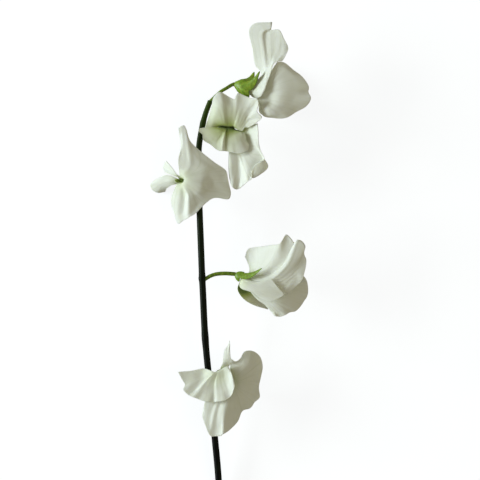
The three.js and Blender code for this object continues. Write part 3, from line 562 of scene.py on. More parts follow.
@dataclass(frozen=True)
class FarWing:
    """A wing behind a flower's middle plane: the near one, deeper and a little smaller."""

    name: str
    near: str
    plane: float
    depth: float
    inset: float

    def petal(self, near: Petal) -> Petal:
        """Return the far wing, worked out from the near one."""
        x, y = near.claw[0][:2]

        def flip(point: Point) -> Point:
            """Return a point of the near wing moved to the far one."""
            shrunk = (x + (point[0] - x) * self.inset, y + (point[1] - y) * self.inset)
            return (*shrunk, self.plane - (point[2] - self.plane) * self.depth)

        claw = tuple((*point[:2], 2 * self.plane - point[2]) for point in near.claw)
        ribs = tuple(tuple(flip(point) for point in rib) for rib in near.ribs)
        return Petal(self.name, claw, ribs, ruffle=near.ruffle, throat=near.throat)


# ---- Stalks and calyx ----


@dataclass(frozen=True)
class Stalk:
    """A round stalk along a smooth line, thicker at one end.

    Taper is the power of the change between the radii. A swelling is a place and a width, as
    shares of the length, and a growth in radius.
    """

    line: tuple[Point, ...]
    start_radius: float = 0.8
    end_radius: float = 0.9
    taper: float = 1.0
    sides: int = 20
    steps: int = 40
    swellings: tuple[tuple[float, float, float], ...] = ()

    def radius(self, position: float) -> float:
        """Return the stalk's radius in mm at a position from 0 to 1."""
        share = position**self.taper
        radius = self.start_radius + (self.end_radius - self.start_radius) * share
        for centre, width, growth in self.swellings:
            radius *= 1 + growth * math.exp(-(((position - centre) / width) ** 2))
        return radius

    def build(
        self, name: str, node: str, slot: Slot, material: bpy.types.Material
    ) -> bpy.types.Object:
        """Make the stalk as a closed tube.

        Args:
            name: The new piece's name.
            node: The CAD node that it stands for.
            slot: The record's slot of its finish. It is not used.
            material: The finish.

        Returns:
            The finished stalk.
        """
        tube = bmesh.new()
        bmesh.ops.create_cone(
            tube, cap_ends=True, segments=self.sides, radius1=1.0, radius2=1.0, depth=1.0
        )
        uprights = [
            edge for edge in tube.edges if abs(edge.verts[0].co.z - edge.verts[1].co.z) > 0.5
        ]
        bmesh.ops.subdivide_edges(tube, edges=uprights, cuts=self.steps - 1, use_grid_fill=True)
        points = vectors(self.line)
        stations = [along_spline(points, step / self.steps) for step in range(self.steps + 1)]
        normal = (stations[1] - stations[0]).normalized().orthogonal().normalized()
        frames = []
        for step in range(self.steps + 1):
            after = stations[min(step + 1, self.steps)]
            before = stations[max(step - 1, 0)]
            tangent = (after - before).normalized()
            normal = (normal - tangent * normal.dot(tangent)).normalized()
            frames.append((normal, tangent.cross(normal)))
        for vertex in tube.verts:
            position = vertex.co.z + 0.5
            step = round(position * self.steps)
            first, second = frames[step]
            turn = math.atan2(vertex.co.y, vertex.co.x)
            ribbed = 1 + RIDGE_SHARE * math.cos(RIDGES * turn)
            radius = self.radius(position) * ribbed * math.hypot(vertex.co.x, vertex.co.y)
            offset = first * (math.cos(turn) * radius) + second * (math.sin(turn) * radius)
            vertex.co = (stations[step] + offset) * MM
        bmesh.ops.recalc_face_normals(tube, faces=tube.faces)
        return finished_piece(name, tube, material, node)


@dataclass(frozen=True)
class Tooth:
    """One sepal tip of a calyx.

    Length and the bend of its tip are in mm, and the lean outwards is a share of the length.
    """

    length: float
    lean: float = 0.3
    bend: Point = (0.0, 0.0, 0.0)


@dataclass(frozen=True)
class Calyx:
    """A thin green cup drawn out into five teeth.

    The cup opens along its axis, and its first tooth stands on the side that is up. Length
    leaves the teeth out, and mouth is the radius at the rim.
    """

    base: Point
    axis: Point
    up: Point
    length: float
    mouth: float
    teeth: tuple[Tooth, ...]
    neck_radius: float = 1.0
    wall: float = 0.3
    steps_per_tooth: int = 14

    def build(self, number: int, material: bpy.types.Material) -> bpy.types.Object:
        """Make the cup by turning its profile and drawing out the rim.

        Args:
            number: The flower's number.
            material: The calyx finish.

        Returns:
            The finished calyx.
        """
        cup = bmesh.new()
        shares = (0.0, self.neck_radius / self.mouth, *CUP_WIDTHS)
        widths = vectors([(share, 0, 0) for share in shares])
        ring = [cup.verts.new((0.0, 0.0, 0.0))]
        for height in CUP_RINGS:
            width = along_spline(widths, CUP_START + (1 - CUP_START) * height).x * self.mouth
            ring.append(cup.verts.new((0.0, width, height * self.length)))
        for low, high in zip(ring, ring[1:]):
            cup.edges.new((low, high))
        bmesh.ops.spin(
            cup,
            geom=cup.verts[:] + cup.edges[:],
            cent=(0, 0, 0),
            axis=(0, 0, -1),
            angle=2 * math.pi,
            steps=self.steps_per_tooth * len(self.teeth),
            use_merge=True,
        )
        bmesh.ops.remove_doubles(cup, verts=cup.verts, dist=MERGE_MM)
        forward = Vector(self.axis).normalized()
        side = forward.cross(Vector(self.up)).normalized()
        top = side.cross(forward).normalized()
        for vertex in cup.verts:
            vertex.co = self.placed(vertex.co.copy(), forward, side, top) * MM
        bmesh.ops.recalc_face_normals(cup, faces=cup.faces)
        piece = finished_piece(f"cup_{number}", cup, material, f"calyx_{number}")
        add_wall(piece, self.wall, offset=-1.0)
        return piece

    def placed(self, spot: Vector, forward: Vector, side: Vector, top: Vector) -> Vector:
        """Return where a point of the plain cup goes.

        Args:
            spot: The point on the turned cup, in mm, with the axis along Z.
            forward: The cup's axis in the part's frame.
            side: The direction a quarter turn on from the first tooth.
            top: The direction of the first tooth.

        Returns:
            The point in the part's frame, in mm.
        """
        count = len(self.teeth)
        angle = math.atan2(spot.x, spot.y)
        turn = angle / (2 * math.pi) * count + 0.5
        tooth = self.teeth[math.floor(turn) % count]
        within = abs(turn - math.floor(turn) - 0.5) * 2
        rise = blend_step(TEETH_START, 1.0, spot.z / self.length)
        share = rise * (1 - within**TOOTH_POWER)
        reach = tooth.length * share
        grown = math.hypot(spot.x, spot.y) + tooth.lean * reach
        out = top * math.cos(angle) + side * math.sin(angle)
        bent = Vector(tooth.bend) * share**2
        return Vector(self.base) + forward * (spot.z + reach) + out * grown + bent


# ---- Flowers ----


@dataclass(frozen=True)
class Flower:
    """One blossom with its pedicel, calyx and petals."""

    number: int
    pedicel: Stalk
    calyx: Calyx
    petals: tuple[Petal, ...]
    keel: Keel | None = None
    far_wing: FarWing | None = None

    def all_petals(self) -> list[Petal]:
        """Return every petal of the flower, the worked-out ones too."""
        petals = list(self.petals)
        if self.far_wing:
            near = next(petal for petal in petals if petal.name == self.far_wing.near)
            petals.append(self.far_wing.petal(near))
        if self.keel:
            petals.append(self.keel.petal())
        return petals

    def build(self, finishes: dict[Slot, bpy.types.Material]) -> None:
        """Make all pieces of the flower.

        Args:
            finishes: The material of each slot.
        """
        self.pedicel.build(
            f"stalk_{self.number}", f"pedicel_{self.number}", Slot.PEDICEL, finishes[Slot.PEDICEL]
        )
        self.calyx.build(self.number, finishes[Slot.CALYX])
        for petal in self.all_petals():
            piece = petal.build(self.number, finishes[Slot.PETAL])
            LOG.info("made %s with %d faces", piece.name, len(piece.data.polygons))


# Ribs of the petals: each line runs from the claw, which it leaves out, to the margin.

STANDARD_1: Ribs = (
    ((10.3, 95, 16), (12.7, 97.2, 17.4), (15.4, 101, 17.3), (12.3, 105.4, 16), (10.9, 113.5, 15.1),
     (9.2, 123, 15), (11.6, 126, 15.8), (20.7, 126.8, 18.2)),
    ((10.6, 94.5, 16.5), (13.4, 96.7, 18), (16.1, 101.4, 18), (14, 106.4, 16.8), (12.8, 114, 15.9),
     (11.4, 121.8, 15.8), (13.4, 124.9, 16.5), (20.6, 125.8, 18.3)),
    ((10.9, 94, 17), (14, 96.1, 18.6), (16.7, 101.7, 18.6), (15.6, 107.2, 17.6),
     (14.8, 114.2, 16.7), (13.8, 120.6, 16.6), (15.2, 123.8, 17.1), (20.4, 124.6, 18.4)),
    ((11.2, 93.5, 17.3), (14.6, 95.5, 19.2), (17.2, 101.9, 19.2), (17, 107.6, 18.5),
     (16.6, 113.4, 17.5), (15.9, 119.2, 17.3), (16.5, 122.2, 17.5), (20.2, 123.5, 18.4)),
    ((11.4, 93, 17.6), (15.1, 94.9, 19.7), (17.7, 102, 19.7), (18.3, 108, 18.7),
     (17.8, 113.6, 17.4), (17.2, 119.2, 17.1), (17.8, 122.2, 17.2), (20.2, 122.8, 17.8)),
    ((11.5, 92.5, 17.7), (15.5, 94.3, 20.1), (18.1, 102, 20.1), (19.6, 107.4, 19.3),
     (19.8, 112.8, 18.2), (19.8, 117.8, 17.9), (19.9, 121.2, 17.9), (21.2, 122.9, 18.1)),
    ((11.6, 92, 17.7), (15.9, 93.6, 20.6), (18.5, 101.9, 20.5), (20.4, 106.8, 20),
     (21.7, 111.4, 18.9), (22.3, 116, 18.7), (22.5, 119.8, 18.6), (22.6, 123.1, 18.6)),
    ((11.6, 91.4, 17.5), (16.1, 92.8, 20.9), (18.8, 101.6, 20.8), (20.9, 106.6, 20.6),
     (22.9, 110.6, 19.5), (24.2, 114.6, 19.4), (24.6, 118.8, 19.3), (24.3, 122.8, 19.2)),
    ((11.5, 90.8, 17.1), (16.1, 91.9, 20.9), (19.1, 101.1, 21.1), (21.2, 106.4, 21),
     (23.6, 109.4, 20.1), (25.4, 112.2, 19.9), (26.2, 115.4, 19.9), (26.7, 118.2, 19.9)),
    ((11.3, 90.2, 16.4), (15.8, 90.9, 20.4), (19.3, 100.6, 21.4), (21.4, 106, 21.2),
     (23.8, 108.2, 21), (26, 109.8, 20.8), (27.4, 111.8, 20.6), (28.7, 113.5, 20.4)),
    ((10.9, 89.5, 15.4), (15.2, 89.8, 19.6), (19.5, 100, 21.6), (21.2, 105.5, 21.4),
     (23.2, 107, 21.4), (25.6, 107.2, 21.3), (26.6, 108.7, 21.2), (27.2, 110.2, 21)),
)

WING_RIGHT_1: Ribs = (
    ((14, 95, 15.6), (18.6, 99, 19), (21.4, 104, 20.2), (23.2, 106.9, 20.2)),
    ((14.6, 94.4, 16.2), (20.6, 99.4, 20), (24.6, 104, 20.6), (26.6, 106.6, 20.1)),
    ((15.2, 93.6, 16.8), (22.2, 98.4, 20.6), (28, 102.2, 20.9), (31.6, 102.7, 20)),
    ((15.6, 92.6, 17.2), (23.6, 96.4, 20.9), (30.6, 98.6, 21.1), (35.6, 99.4, 20.2)),
    ((15.8, 91.6, 17.4), (24.2, 94.2, 21.1), (32.4, 95, 21.2), (38.9, 94.4, 20.4)),
    ((15.9, 90.8, 17.2), (24.4, 92.2, 21.1), (32.8, 92, 21.1), (38.8, 91.7, 20.5)),
    ((15.9, 90, 17), (24.2, 90, 21.1), (32.6, 89.4, 20.8), (40, 88.7, 20.3)),
    ((15.8, 89.2, 16.8), (23.6, 87.6, 20.9), (31, 86.4, 20.5), (37.6, 84.6, 19.8)),
    ((15.6, 88.4, 16.8), (22.4, 85.4, 20.7), (28, 83.6, 20.3), (32.6, 81.8, 19.2)),
    ((15.2, 87.7, 16.8), (20.4, 84, 20.6), (24.8, 81.4, 20.4), (28.2, 79.3, 19.2)),
    ((14.8, 87.2, 16.6), (18.4, 83.4, 20.4), (21.6, 80.8, 20.5), (24.2, 78.5, 19.4)),
    ((14.5, 87, 16.4), (16.8, 83.4, 19.7), (18.4, 80.9, 20), (19.6, 79.1, 19.4)),
    ((14.3, 87, 16), (15.4, 83.8, 18.6), (15.9, 81.8, 18.9), (16.2, 80, 18.6)),
    ((14.2, 87.1, 15.4), (14.6, 85, 17.2), (14.7, 83.6, 17.5), (14.8, 82, 17.4)),
)

STANDARD_2: Ribs = (
    ((-4.9, 75, 12.3), (-5.2, 74.9, 13.8), (-8.6, 74, 15), (-13.1, 73.4, 14.6)),
    ((-4.7, 75.3, 13.5), (-5, 75.3, 15.4), (-8.3, 76.8, 15.8), (-12.2, 76.3, 14.6)),
    ((-4.6, 75.1, 13.2), (-4.5, 75.6, 16), (-7.4, 80.3, 16.8), (-10.9, 80.4, 14.8)),
    ((-3.9, 74.9, 13.7), (-3.9, 75.8, 16.3), (-5.9, 83.2, 17.4), (-9.6, 85, 15.2)),
    ((-3.2, 74.8, 14.2), (-3.3, 75.8, 16.4), (-4.9, 84.6, 17.8), (-8.6, 89, 15.9)),
    ((-2.5, 74.8, 14.7), (-2.6, 75.8, 16.4), (-3.8, 85, 17.9), (-5.6, 91.9, 16.6)),
    ((-1.7, 74.8, 15.1), (-1.8, 75.8, 16.3), (-2, 84.5, 17.7), (-2.9, 90.8, 16.8)),
    ((-0.9, 74.8, 15.4), (-0.8, 75.8, 16.2), (-0.2, 84, 17.6), (0.4, 88.8, 16.7)),
    ((0.1, 74.9, 15.6), (0.2, 75.7, 16.2), (1.6, 83.8, 17.7), (1.9, 88.2, 16.9)),
    ((1, 74.9, 15.6), (1.2, 75.6, 16.2), (3.2, 84, 18), (3.4, 91.4, 17.5)),
    ((1.3, 74.8, 14.2), (2.1, 74.6, 16.3), (5.2, 83.6, 18.1), (6.8, 90.2, 17.9)),
    ((1.9, 74.3, 14.2), (2.9, 74, 16.3), (6.9, 82.8, 18.1), (9.8, 88.9, 18.7)),
    ((2.5, 73.9, 14.2), (3.6, 73.5, 16.3), (8.4, 82.2, 18.2), (13.4, 88.6, 20.6)),
    ((3, 73.6, 14.2), (4.2, 73.1, 16.3), (9, 80.8, 18), (13.7, 86, 21.4)),
    ((3.6, 73.4, 14.2), (4.8, 72.8, 16.3), (9.2, 79, 17.8), (13.1, 82, 20.9)),
    ((4, 73.3, 14.3), (5.3, 72.7, 16.4), (9.4, 77.4, 17.7), (15.7, 79.3, 20.8)),
    ((4.4, 73.2, 14.4), (5.7, 72.6, 16.5), (8.2, 75.7, 17.5), (12.6, 76.5, 19.9)),
    ((4.6, 73.2, 14.5), (6, 72.5, 16.6), (6.8, 74.1, 17), (8.8, 74.2, 18.2)),
)

WING_RIGHT_2: Ribs = (
    ((-6, 74.6, 14.6), (-6.4, 74.2, 16.6), (-10.5, 74.3, 16.8), (-15.4, 73.9, 16.2)),
    ((-5.2, 74.4, 14.6), (-5.7, 73.6, 17.2), (-10.6, 72.8, 17.3), (-16, 72.3, 16)),
    ((-4.6, 74.3, 14.6), (-5, 73.2, 17.6), (-10, 71, 17.6), (-14.2, 70.8, 16.3)),
    ((-4, 74.2, 14.6), (-4.3, 72.9, 17.7), (-9, 69.2, 17.8), (-13.7, 68, 16.4)),
    ((-3.5, 74.1, 14.6), (-3.8, 72.7, 17.7), (-7.6, 67.8, 17.9), (-10, 65.6, 16.7)),
    ((-3.1, 74, 14.6), (-3.4, 72.6, 17.7), (-6.1, 67.2, 18), (-7.2, 63.3, 17)),
    ((-2.8, 73.9, 14.6), (-3.1, 72.5, 17.7), (-4.9, 67, 18.6), (-5.4, 62.5, 17.6)),
    ((-2.5, 73.9, 14.6), (-2.8, 72.4, 17.8), (-3.8, 67, 19.3), (-4.3, 62.4, 18.3)),
    ((-2.2, 73.8, 14.6), (-2.4, 72.3, 17.8), (-2.9, 67, 19), (-2.6, 62.4, 18.1)),
)

WING_LEFT_2: Ribs = (
    ((3.8, 73, 13), (8.6, 75.2, 15.6), (13.6, 76, 18.4)),
    ((5.2, 71.2, 14), (9.4, 72, 17), (13.7, 72, 20.8)),
    ((6, 69.2, 14.8), (10, 67.8, 17.6), (13.6, 67.4, 20.8)),
    ((6.2, 67.4, 15.2), (10.4, 63.8, 18), (13.6, 63.3, 19.6), (14.8, 63, 20.4)),
    ((6.2, 65.6, 15.6), (10.6, 60.4, 19), (16, 59.2, 20.6), (16.9, 58.8, 21.4)),
    ((6, 64.2, 15.8), (10.6, 58, 19.7), (18.5, 54.6, 21), (16.6, 57.9, 22.8)),
    ((5.5, 63, 16), (9.8, 55.6, 20.1), (15, 51, 20.8), (13.2, 56.5, 22.7)),
    ((5, 62.2, 16.1), (8.8, 53.6, 20.2), (11.4, 49, 20.3), (10.9, 53.2, 22)),
    ((4.6, 61.6, 16.2), (8, 52.2, 19.8), (9.6, 49.2, 20.1), (10.1, 48.3, 20.6)),
    ((4.3, 61, 16.4), (7.4, 51.6, 19.4), (8.4, 48.8, 19.8), (8.8, 47.5, 19.9)),
    ((3.9, 60.6, 16.5), (5.9, 51.5, 17.4), (6.4, 45.2, 17.5)),
    ((3.4, 60.4, 16.5), (4.5, 52, 16.4), (4.5, 43.8, 16.4)),
    ((2.6, 60.4, 16.5), (2.6, 52, 16.4), (2.8, 43.2, 16.4)),
    ((1.2, 60.6, 16.5), (0.8, 52, 16.6), (1.2, 44.1, 16.4)),
    ((0, 61.2, 16.3), (-0.2, 52, 16.4), (-0.1, 46.4, 16)),
    ((-1, 62, 15.6), (-1.1, 55, 15.6), (-0.8, 48.8, 15.2)),
)

KEEL_2: Ribs = (
    ((-2, 73.9, 14), (-2.2, 72, 16.8), (-3.2, 67, 18), (-2.6, 62.3, 17.4)),
    ((-1.2, 74.1, 14.4), (-1.2, 72, 17.2), (-1.5, 67.2, 18.6), (0.2, 61.9, 18.3)),
    ((0.4, 73.8, 14.4), (0.6, 71.5, 17.5), (1.2, 67.4, 19.2), (3, 61.2, 18.9)),
    ((2.2, 73, 14.2), (3.2, 71.4, 17.7), (4, 67.4, 19.5), (5.6, 61.4, 19.2)),
    ((3.8, 72.2, 14), (5.4, 71.4, 17.7), (6.6, 67.2, 19.2), (8.4, 62.9, 19.1)),
    ((5, 71.6, 13.6), (6.9, 71.2, 17.2), (8, 67.2, 18.4), (9.2, 65.6, 18.3)),
)

STANDARD_3: Ribs = (
    ((-25.2, 49.8, 13.8), (-25.9, 53.5, 16), (-26.3, 57.5, 16.8), (-24.9, 65, 17.2),
     (-26.1, 73.9, 17.2)),
    ((-24.8, 50, 15), (-24.6, 55.5, 16.9), (-24.4, 61, 17.4), (-23.9, 67, 18.4),
     (-24.6, 74.9, 17.9)),
    ((-24.4, 50.1, 15.8), (-22.6, 55.5, 17.4), (-22.2, 60.5, 18), (-22.6, 66.5, 18.9),
     (-23.3, 75.2, 18.4)),
    ((-24, 50, 16.3), (-20.6, 55, 18), (-20.6, 60, 18.6), (-21.4, 66, 19), (-22, 73, 18.6)),
    ((-23.7, 49.8, 16.6), (-18.8, 54, 18), (-18, 58.4, 18.5), (-18.8, 62.5, 18.6),
     (-20.4, 67.6, 18.4)),
    ((-23.4, 49.5, 16.8), (-17, 53, 18.1), (-14.8, 56, 18.4), (-14.4, 58.8, 18.2),
     (-15.8, 62.9, 18)),
    ((-23.2, 49.2, 16.9), (-15.7, 51.8, 18.2), (-11.5, 53.8, 18.2), (-9.8, 55.6, 17.8),
     (-8.2, 56.8, 17.4)),
    ((-23, 48.9, 17), (-15.3, 50.4, 18.3), (-10, 51.4, 17.7), (-6, 51.8, 17.1), (-2.3, 52.6, 16.6)),
    ((-22.9, 48.5, 17.1), (-15, 48.4, 18.8), (-9.5, 48.6, 17.4), (-5.5, 48.4, 16.9),
     (-1.4, 48.7, 16.2)),
    ((-22.9, 48.1, 17.1), (-14.9, 46.6, 19), (-10, 46, 17.1), (-6.5, 46.4, 17), (-0.9, 45.9, 15.8)),
    ((-23, 47.7, 17.1), (-15.1, 44.8, 18.8), (-10.6, 43.6, 17), (-6, 43.2, 16.3), (0.1, 41, 15.8)),
    ((-23.1, 47.3, 17), (-15.9, 43.2, 18.4), (-11.8, 41.6, 17), (-7, 40.6, 16.4), (-1, 38.5, 16.4)),
    ((-23.3, 46.9, 16.9), (-17, 42.2, 18.1), (-13.8, 40, 17.4), (-11, 39.2, 16.8),
     (-8.4, 39, 16.4)),
    ((-23.6, 46.5, 16.7), (-18.6, 41.6, 17.9), (-16.4, 38.6, 17.4), (-14.8, 37, 17),
     (-13, 36, 16.6)),
    ((-24, 46.2, 16.2), (-20.2, 41, 17.9), (-19.2, 36.5, 17.6), (-18.6, 33.6, 17),
     (-17.6, 31.2, 16.6)),
    ((-24.4, 46, 15.6), (-21.4, 40.8, 17.8), (-21.2, 36, 17.6), (-21.2, 32.5, 16.9),
     (-21.4, 29, 15.8)),
    ((-24.8, 45.9, 14.8), (-22.9, 40.8, 15.4), (-23, 35.5, 14.8), (-23.2, 31.5, 13.8),
     (-23.6, 27.8, 12.4)),
    ((-25.4, 45.8, 13.9), (-25.4, 40.8, 14.8), (-26, 35, 13.8), (-26.3, 30.5, 12),
     (-26, 26.3, 9.4)),
    ((-26.1, 45.9, 13.2), (-27.6, 41, 13.4), (-28.3, 35, 12), (-28, 31, 10.4), (-27.5, 27.6, 8.6)),
    ((-26.4, 46.3, 12.6), (-28.6, 42.4, 12.4), (-29.9, 38, 11), (-29.4, 34.6, 9.8),
     (-28.4, 31.2, 8.8)),
)

WING_RIGHT_3: Ribs = (
    ((-26.9, 50.9, 13.6), (-28.6, 53.2, 13), (-32.2, 57.6, 9.6)),
    ((-27.1, 50.6, 13.4), (-29.6, 53, 12), (-33.2, 56.6, 7.8)),
    ((-27.3, 50.2, 12.8), (-30.6, 52.2, 10.4), (-33.8, 54.6, 6.2)),
    ((-27.6, 49.8, 12), (-30.8, 51, 9), (-33.2, 52.2, 5.4)),
)

WING_LEFT_3: Ribs = (
    ((-28, 49.4, 10.2), (-32.6, 50.6, 8.4), (-37.4, 48.4, 3.4)),
    ((-28.4, 48.8, 10), (-34, 48.8, 7), (-40.4, 45.8, 1.2)),
    ((-28.8, 47.8, 9.8), (-34.2, 46.8, 6.2), (-39.8, 43.6, 0.9)),
    ((-28.9, 46.8, 9.2), (-33.6, 45, 5.2), (-36.8, 41.9, 0.9)),
    ((-28.6, 45.8, 8.6), (-32, 43.9, 4.6), (-33, 42.2, 0.9)),
)

STANDARD_4: Ribs = (
    ((9, 1.6, 11.8), (9.4, 4, 11), (8.4, 7, 10), (7.3, 9.6, 9.6)),
    ((9.6, 1.8, 12.6), (10.6, 5, 12.2), (9.6, 9.4, 11.2), (8.6, 13.4, 10.8)),
    ((10.4, 1.9, 13.6), (12.6, 5.6, 13.8), (12.4, 10, 13.2), (11.6, 14.4, 12.6)),
    ((11.2, 1.9, 14.4), (14.8, 6, 15.4), (15.8, 10.4, 15.6), (16, 14.9, 15.2)),
    ((12.2, 1.8, 15.2), (17, 6, 17), (19.4, 10.6, 18), (20.6, 15.6, 18.2)),
    ((13, 1.6, 15.8), (19, 5.6, 18.4), (22.4, 10.6, 20), (24.4, 16.1, 20.8)),
    ((13.6, 1.3, 16.2), (20.4, 5, 19), (24.2, 10.6, 20.7), (25.8, 18.2, 21.3)),
    ((14, 0.9, 16.5), (21.4, 4.2, 19.2), (26, 10.4, 21), (27.7, 20.8, 21.4)),
    ((14.3, 0.4, 16.7), (22.2, 3.4, 19.4), (27.8, 10, 21.1), (30.2, 18.6, 21.4)),
    ((14.3, -0.6, 17.2), (21.6, 1.6, 19.6), (28, 8.2, 21.2), (31.6, 16.6, 21.4)),
    ((14, -1.7, 18.4), (20.6, 0.2, 20.4), (27, 6.6, 21.8), (32, 17.4, 22)),
    ((14.4, -2.6, 19.2), (21.4, -0.6, 21.3), (27.9, 5.8, 22.8), (32.9, 18.1, 22.8)),
    ((15, -3.2, 19.2), (22.8, -1.2, 21.3), (29.6, 5.2, 22.8), (35, 17.8, 22.6)),
    ((15.6, -3.6, 19.2), (24.2, -1.8, 21.2), (31.2, 4.2, 22.5), (37.2, 15, 22.4)),
    ((16, -4, 19.1), (25.2, -2.6, 21.1), (32.2, 3.2, 22.3), (36.6, 11.2, 22.6)),
    ((16.2, -4.3, 19.1), (25.8, -3.4, 21), (32.6, 2, 22.1), (37.7, 8, 22.4)),
    ((16.2, -4.6, 19), (26.2, -4.4, 20.9), (32.8, 0.6, 21.9), (36.7, 1.6, 22.2)),
    ((16, -4.9, 18.9), (26.4, -5.8, 20.7), (31.8, -2, 21.6), (35.4, -2.2, 21.6)),
    ((15.8, -5.1, 18.8), (26, -7.2, 20.5), (29.6, -5.2, 21.1), (32, -5.6, 21)),
    ((15.6, -5.3, 18.7), (24.6, -7.8, 20.2), (26.8, -8.2, 20.4), (28.2, -9, 20.2)),
)

WING_RIGHT_4: Ribs = (
    ((10.6, -2.4, 18.6), (14.5, -2.9, 20.2), (17.5, -2.2, 21.2), (20.4, -1.5, 21.9)),
    ((9.4, -2.4, 18.6), (14.5, -4.2, 20.4), (18.5, -4, 21.2), (22.3, -3.9, 22)),
    ((8, -2.3, 18.4), (14, -5.5, 20.2), (19.5, -6.1, 21.3), (24.6, -6.6, 21.9)),
    ((6.8, -2.3, 17.9), (13, -6.4, 20), (19.5, -8.1, 21.1), (26.6, -9.2, 21.7)),
    ((5.9, -2.6, 17.5), (11.5, -6.8, 19.5), (18.5, -9.5, 20.6), (24, -11, 21.2)),
    ((5.4, -3.3, 17), (9.8, -6.9, 18.9), (16.5, -10.2, 20.1), (21.6, -12.1, 20.6)),
    ((4.9, -4.2, 16.4), (7.6, -6.7, 18), (13, -9, 19.2), (18, -12.3, 19.6)),
    ((4.5, -5, 15.6), (5.4, -6.3, 16.6), (10.2, -7.9, 18.1), (14.6, -10.7, 18.6)),
)

WING_LEFT_4: Ribs = (
    ((13, -1.6, 9), (19, 0.4, 3.4), (27, 1.6, 1), (34, 1.4, 6.6)),
    ((13.6, -3.6, 10.6), (21.6, -2, 9.6), (29, -0.6, 10.6), (36.9, -0.4, 13)),
    ((14, -5.6, 11.6), (23.2, -4.6, 13.2), (30.6, -3.6, 14.6), (38.2, -3, 14)),
    ((14, -7.2, 13.2), (24.2, -7.6, 15.6), (31.2, -7.6, 15.8), (38.4, -9.2, 14)),
    ((13.8, -8.4, 14), (24.2, -10.2, 16.4), (30.6, -11.4, 15.8), (36.2, -13.4, 13.8)),
    ((13.6, -9.4, 14.3), (23.4, -12.6, 16.6), (28.4, -14.8, 16), (32.2, -17.6, 14.4)),
    ((13.4, -10, 14.4), (22.2, -14, 16.4), (26.4, -16.8, 16), (29.6, -18.2, 15.2)),
    ((13.2, -10.6, 14.3), (20.6, -14.8, 15.8), (24.4, -18, 15.6), (27, -19.5, 15.2)),
    ((13, -11, 14.2), (19, -15, 15.2), (22.2, -18.2, 15.2), (24.4, -20.4, 15)),
    ((13, -11.2, 14), (17.6, -14.6, 14.7), (20.2, -17.4, 14.8), (22, -19.7, 14.6)),
    ((13, -11.4, 13.8), (16.6, -13.9, 14.2), (18.5, -16, 14.3), (20.2, -18.2, 14.2)),
)

KEEL_4: Ribs = (
    ((4.8, -5.4, 13.4), (8.5, -7, 13), (13, -8.8, 11.6), (17.6, -13.6, 10.8)),
    ((4.2, -6, 13.4), (8.4, -9, 12.7), (12.6, -11.4, 11.2), (18, -15.2, 10.4)),
    ((3.8, -6.4, 13.6), (7.2, -10.4, 13.2), (11.6, -13.2, 11.2), (18.4, -16.2, 10.4)),
    ((3.5, -6.6, 14), (6, -11, 14), (11, -14.3, 12.4), (18.7, -16.6, 11.2)),
)

STANDARD_5: Ribs = (
    ((-0.8, -48.5, 11.8), (-0.2, -44.5, 13.4), (0, -41.2, 13.2)),
    ((0.4, -48.5, 12.4), (2, -45.2, 14.2), (2.4, -42.7, 13.8)),
    ((1.4, -48.8, 12.6), (4.4, -44.8, 14.6), (4.5, -41.4, 14)),
    ((2.4, -49.2, 12.8), (6.4, -43.6, 14.8), (6.8, -37.8, 13.6)),
    ((3.2, -49.8, 12.8), (9, -43.6, 14.6), (10.6, -37.4, 12.8)),
    ((3.8, -50.6, 12.8), (11.2, -44.4, 13.6), (14.3, -40.1, 11)),
    ((4.2, -51.6, 12.6), (12, -46.8, 12.2), (15.7, -45, 9)),
    ((4.4, -52.8, 12.4), (11.6, -50.4, 11.2), (15, -50.2, 7)),
    ((4.4, -54, 12.3), (11.2, -54.6, 10), (14.3, -55.8, 4.6)),
    ((4.2, -55.2, 12.3), (10.6, -58, 9.4), (14.5, -61, 0.9)),
    ((3.8, -56.2, 12.4), (9, -60.6, 9.8), (11.6, -63.4, 4)),
    ((3.2, -57, 12.7), (7.4, -62.4, 11.2), (9.6, -66.3, 6.8)),
    ((2.4, -57.8, 13), (5, -64.2, 12.6), (6, -67.8, 10)),
    ((1.2, -58.4, 13.2), (2.4, -66, 13.8), (3.6, -72.8, 11.4)),
    ((-0.2, -58.8, 13.4), (-0.6, -67.4, 14.8), (-0.6, -76.9, 13)),
    ((-1.8, -59, 13.4), (-3.4, -68.4, 15.6), (-3.6, -78.9, 14.4)),
    ((-2.8, -59, 13.2), (-4.9, -68.6, 15), (-5, -80, 13.7)),
    ((-3.8, -58.8, 13), (-6.6, -68.4, 14.2), (-7.4, -80.2, 12.9)),
    ((-4.8, -58.6, 12.9), (-8.2, -68, 14), (-9.5, -80.3, 12.6)),
    ((-5.8, -58.2, 12.7), (-9.6, -67.6, 13.3), (-10.8, -79.2, 12.3)),
    ((-6.8, -57.6, 12.6), (-11.6, -66.8, 12.9), (-13, -74, 12.3)),
    ((-7.8, -56.8, 12.5), (-12.8, -64.8, 12.6), (-14.4, -69.6, 12.1)),
    ((-8.4, -55.8, 12.4), (-12.6, -61.6, 12.4), (-13.4, -64.2, 11.8)),
)

WING_RIGHT_5: Ribs = (
    ((-5.2, -46.2, 12.2), (-4, -43.4, 14.6), (-3.6, -39.6, 15.4), (-3.2, -37.2, 15.6)),
    ((-4.2, -45.8, 12.6), (-3.2, -42.8, 15.1), (-2.8, -39, 15.9), (-2.5, -36.2, 15.9)),
    ((-3.1, -45.3, 12.9), (-2.4, -42.4, 15.5), (-2, -38.6, 16.3), (-1.6, -34.9, 16.2)),
    ((-2.1, -44.8, 13.3), (-1.6, -42.1, 15.8), (-1.2, -38.2, 16.6), (-0.6, -32.3, 16.5)),
    ((-1.2, -44.3, 13.9), (-0.8, -42, 16), (-0.6, -38.6, 16.8), (-0.5, -34.4, 16.6)),
    ((-0.2, -43.9, 14.5), (0.1, -42.3, 16.1), (-0.2, -39.6, 16.8), (-0.5, -36.8, 16.7)),
)

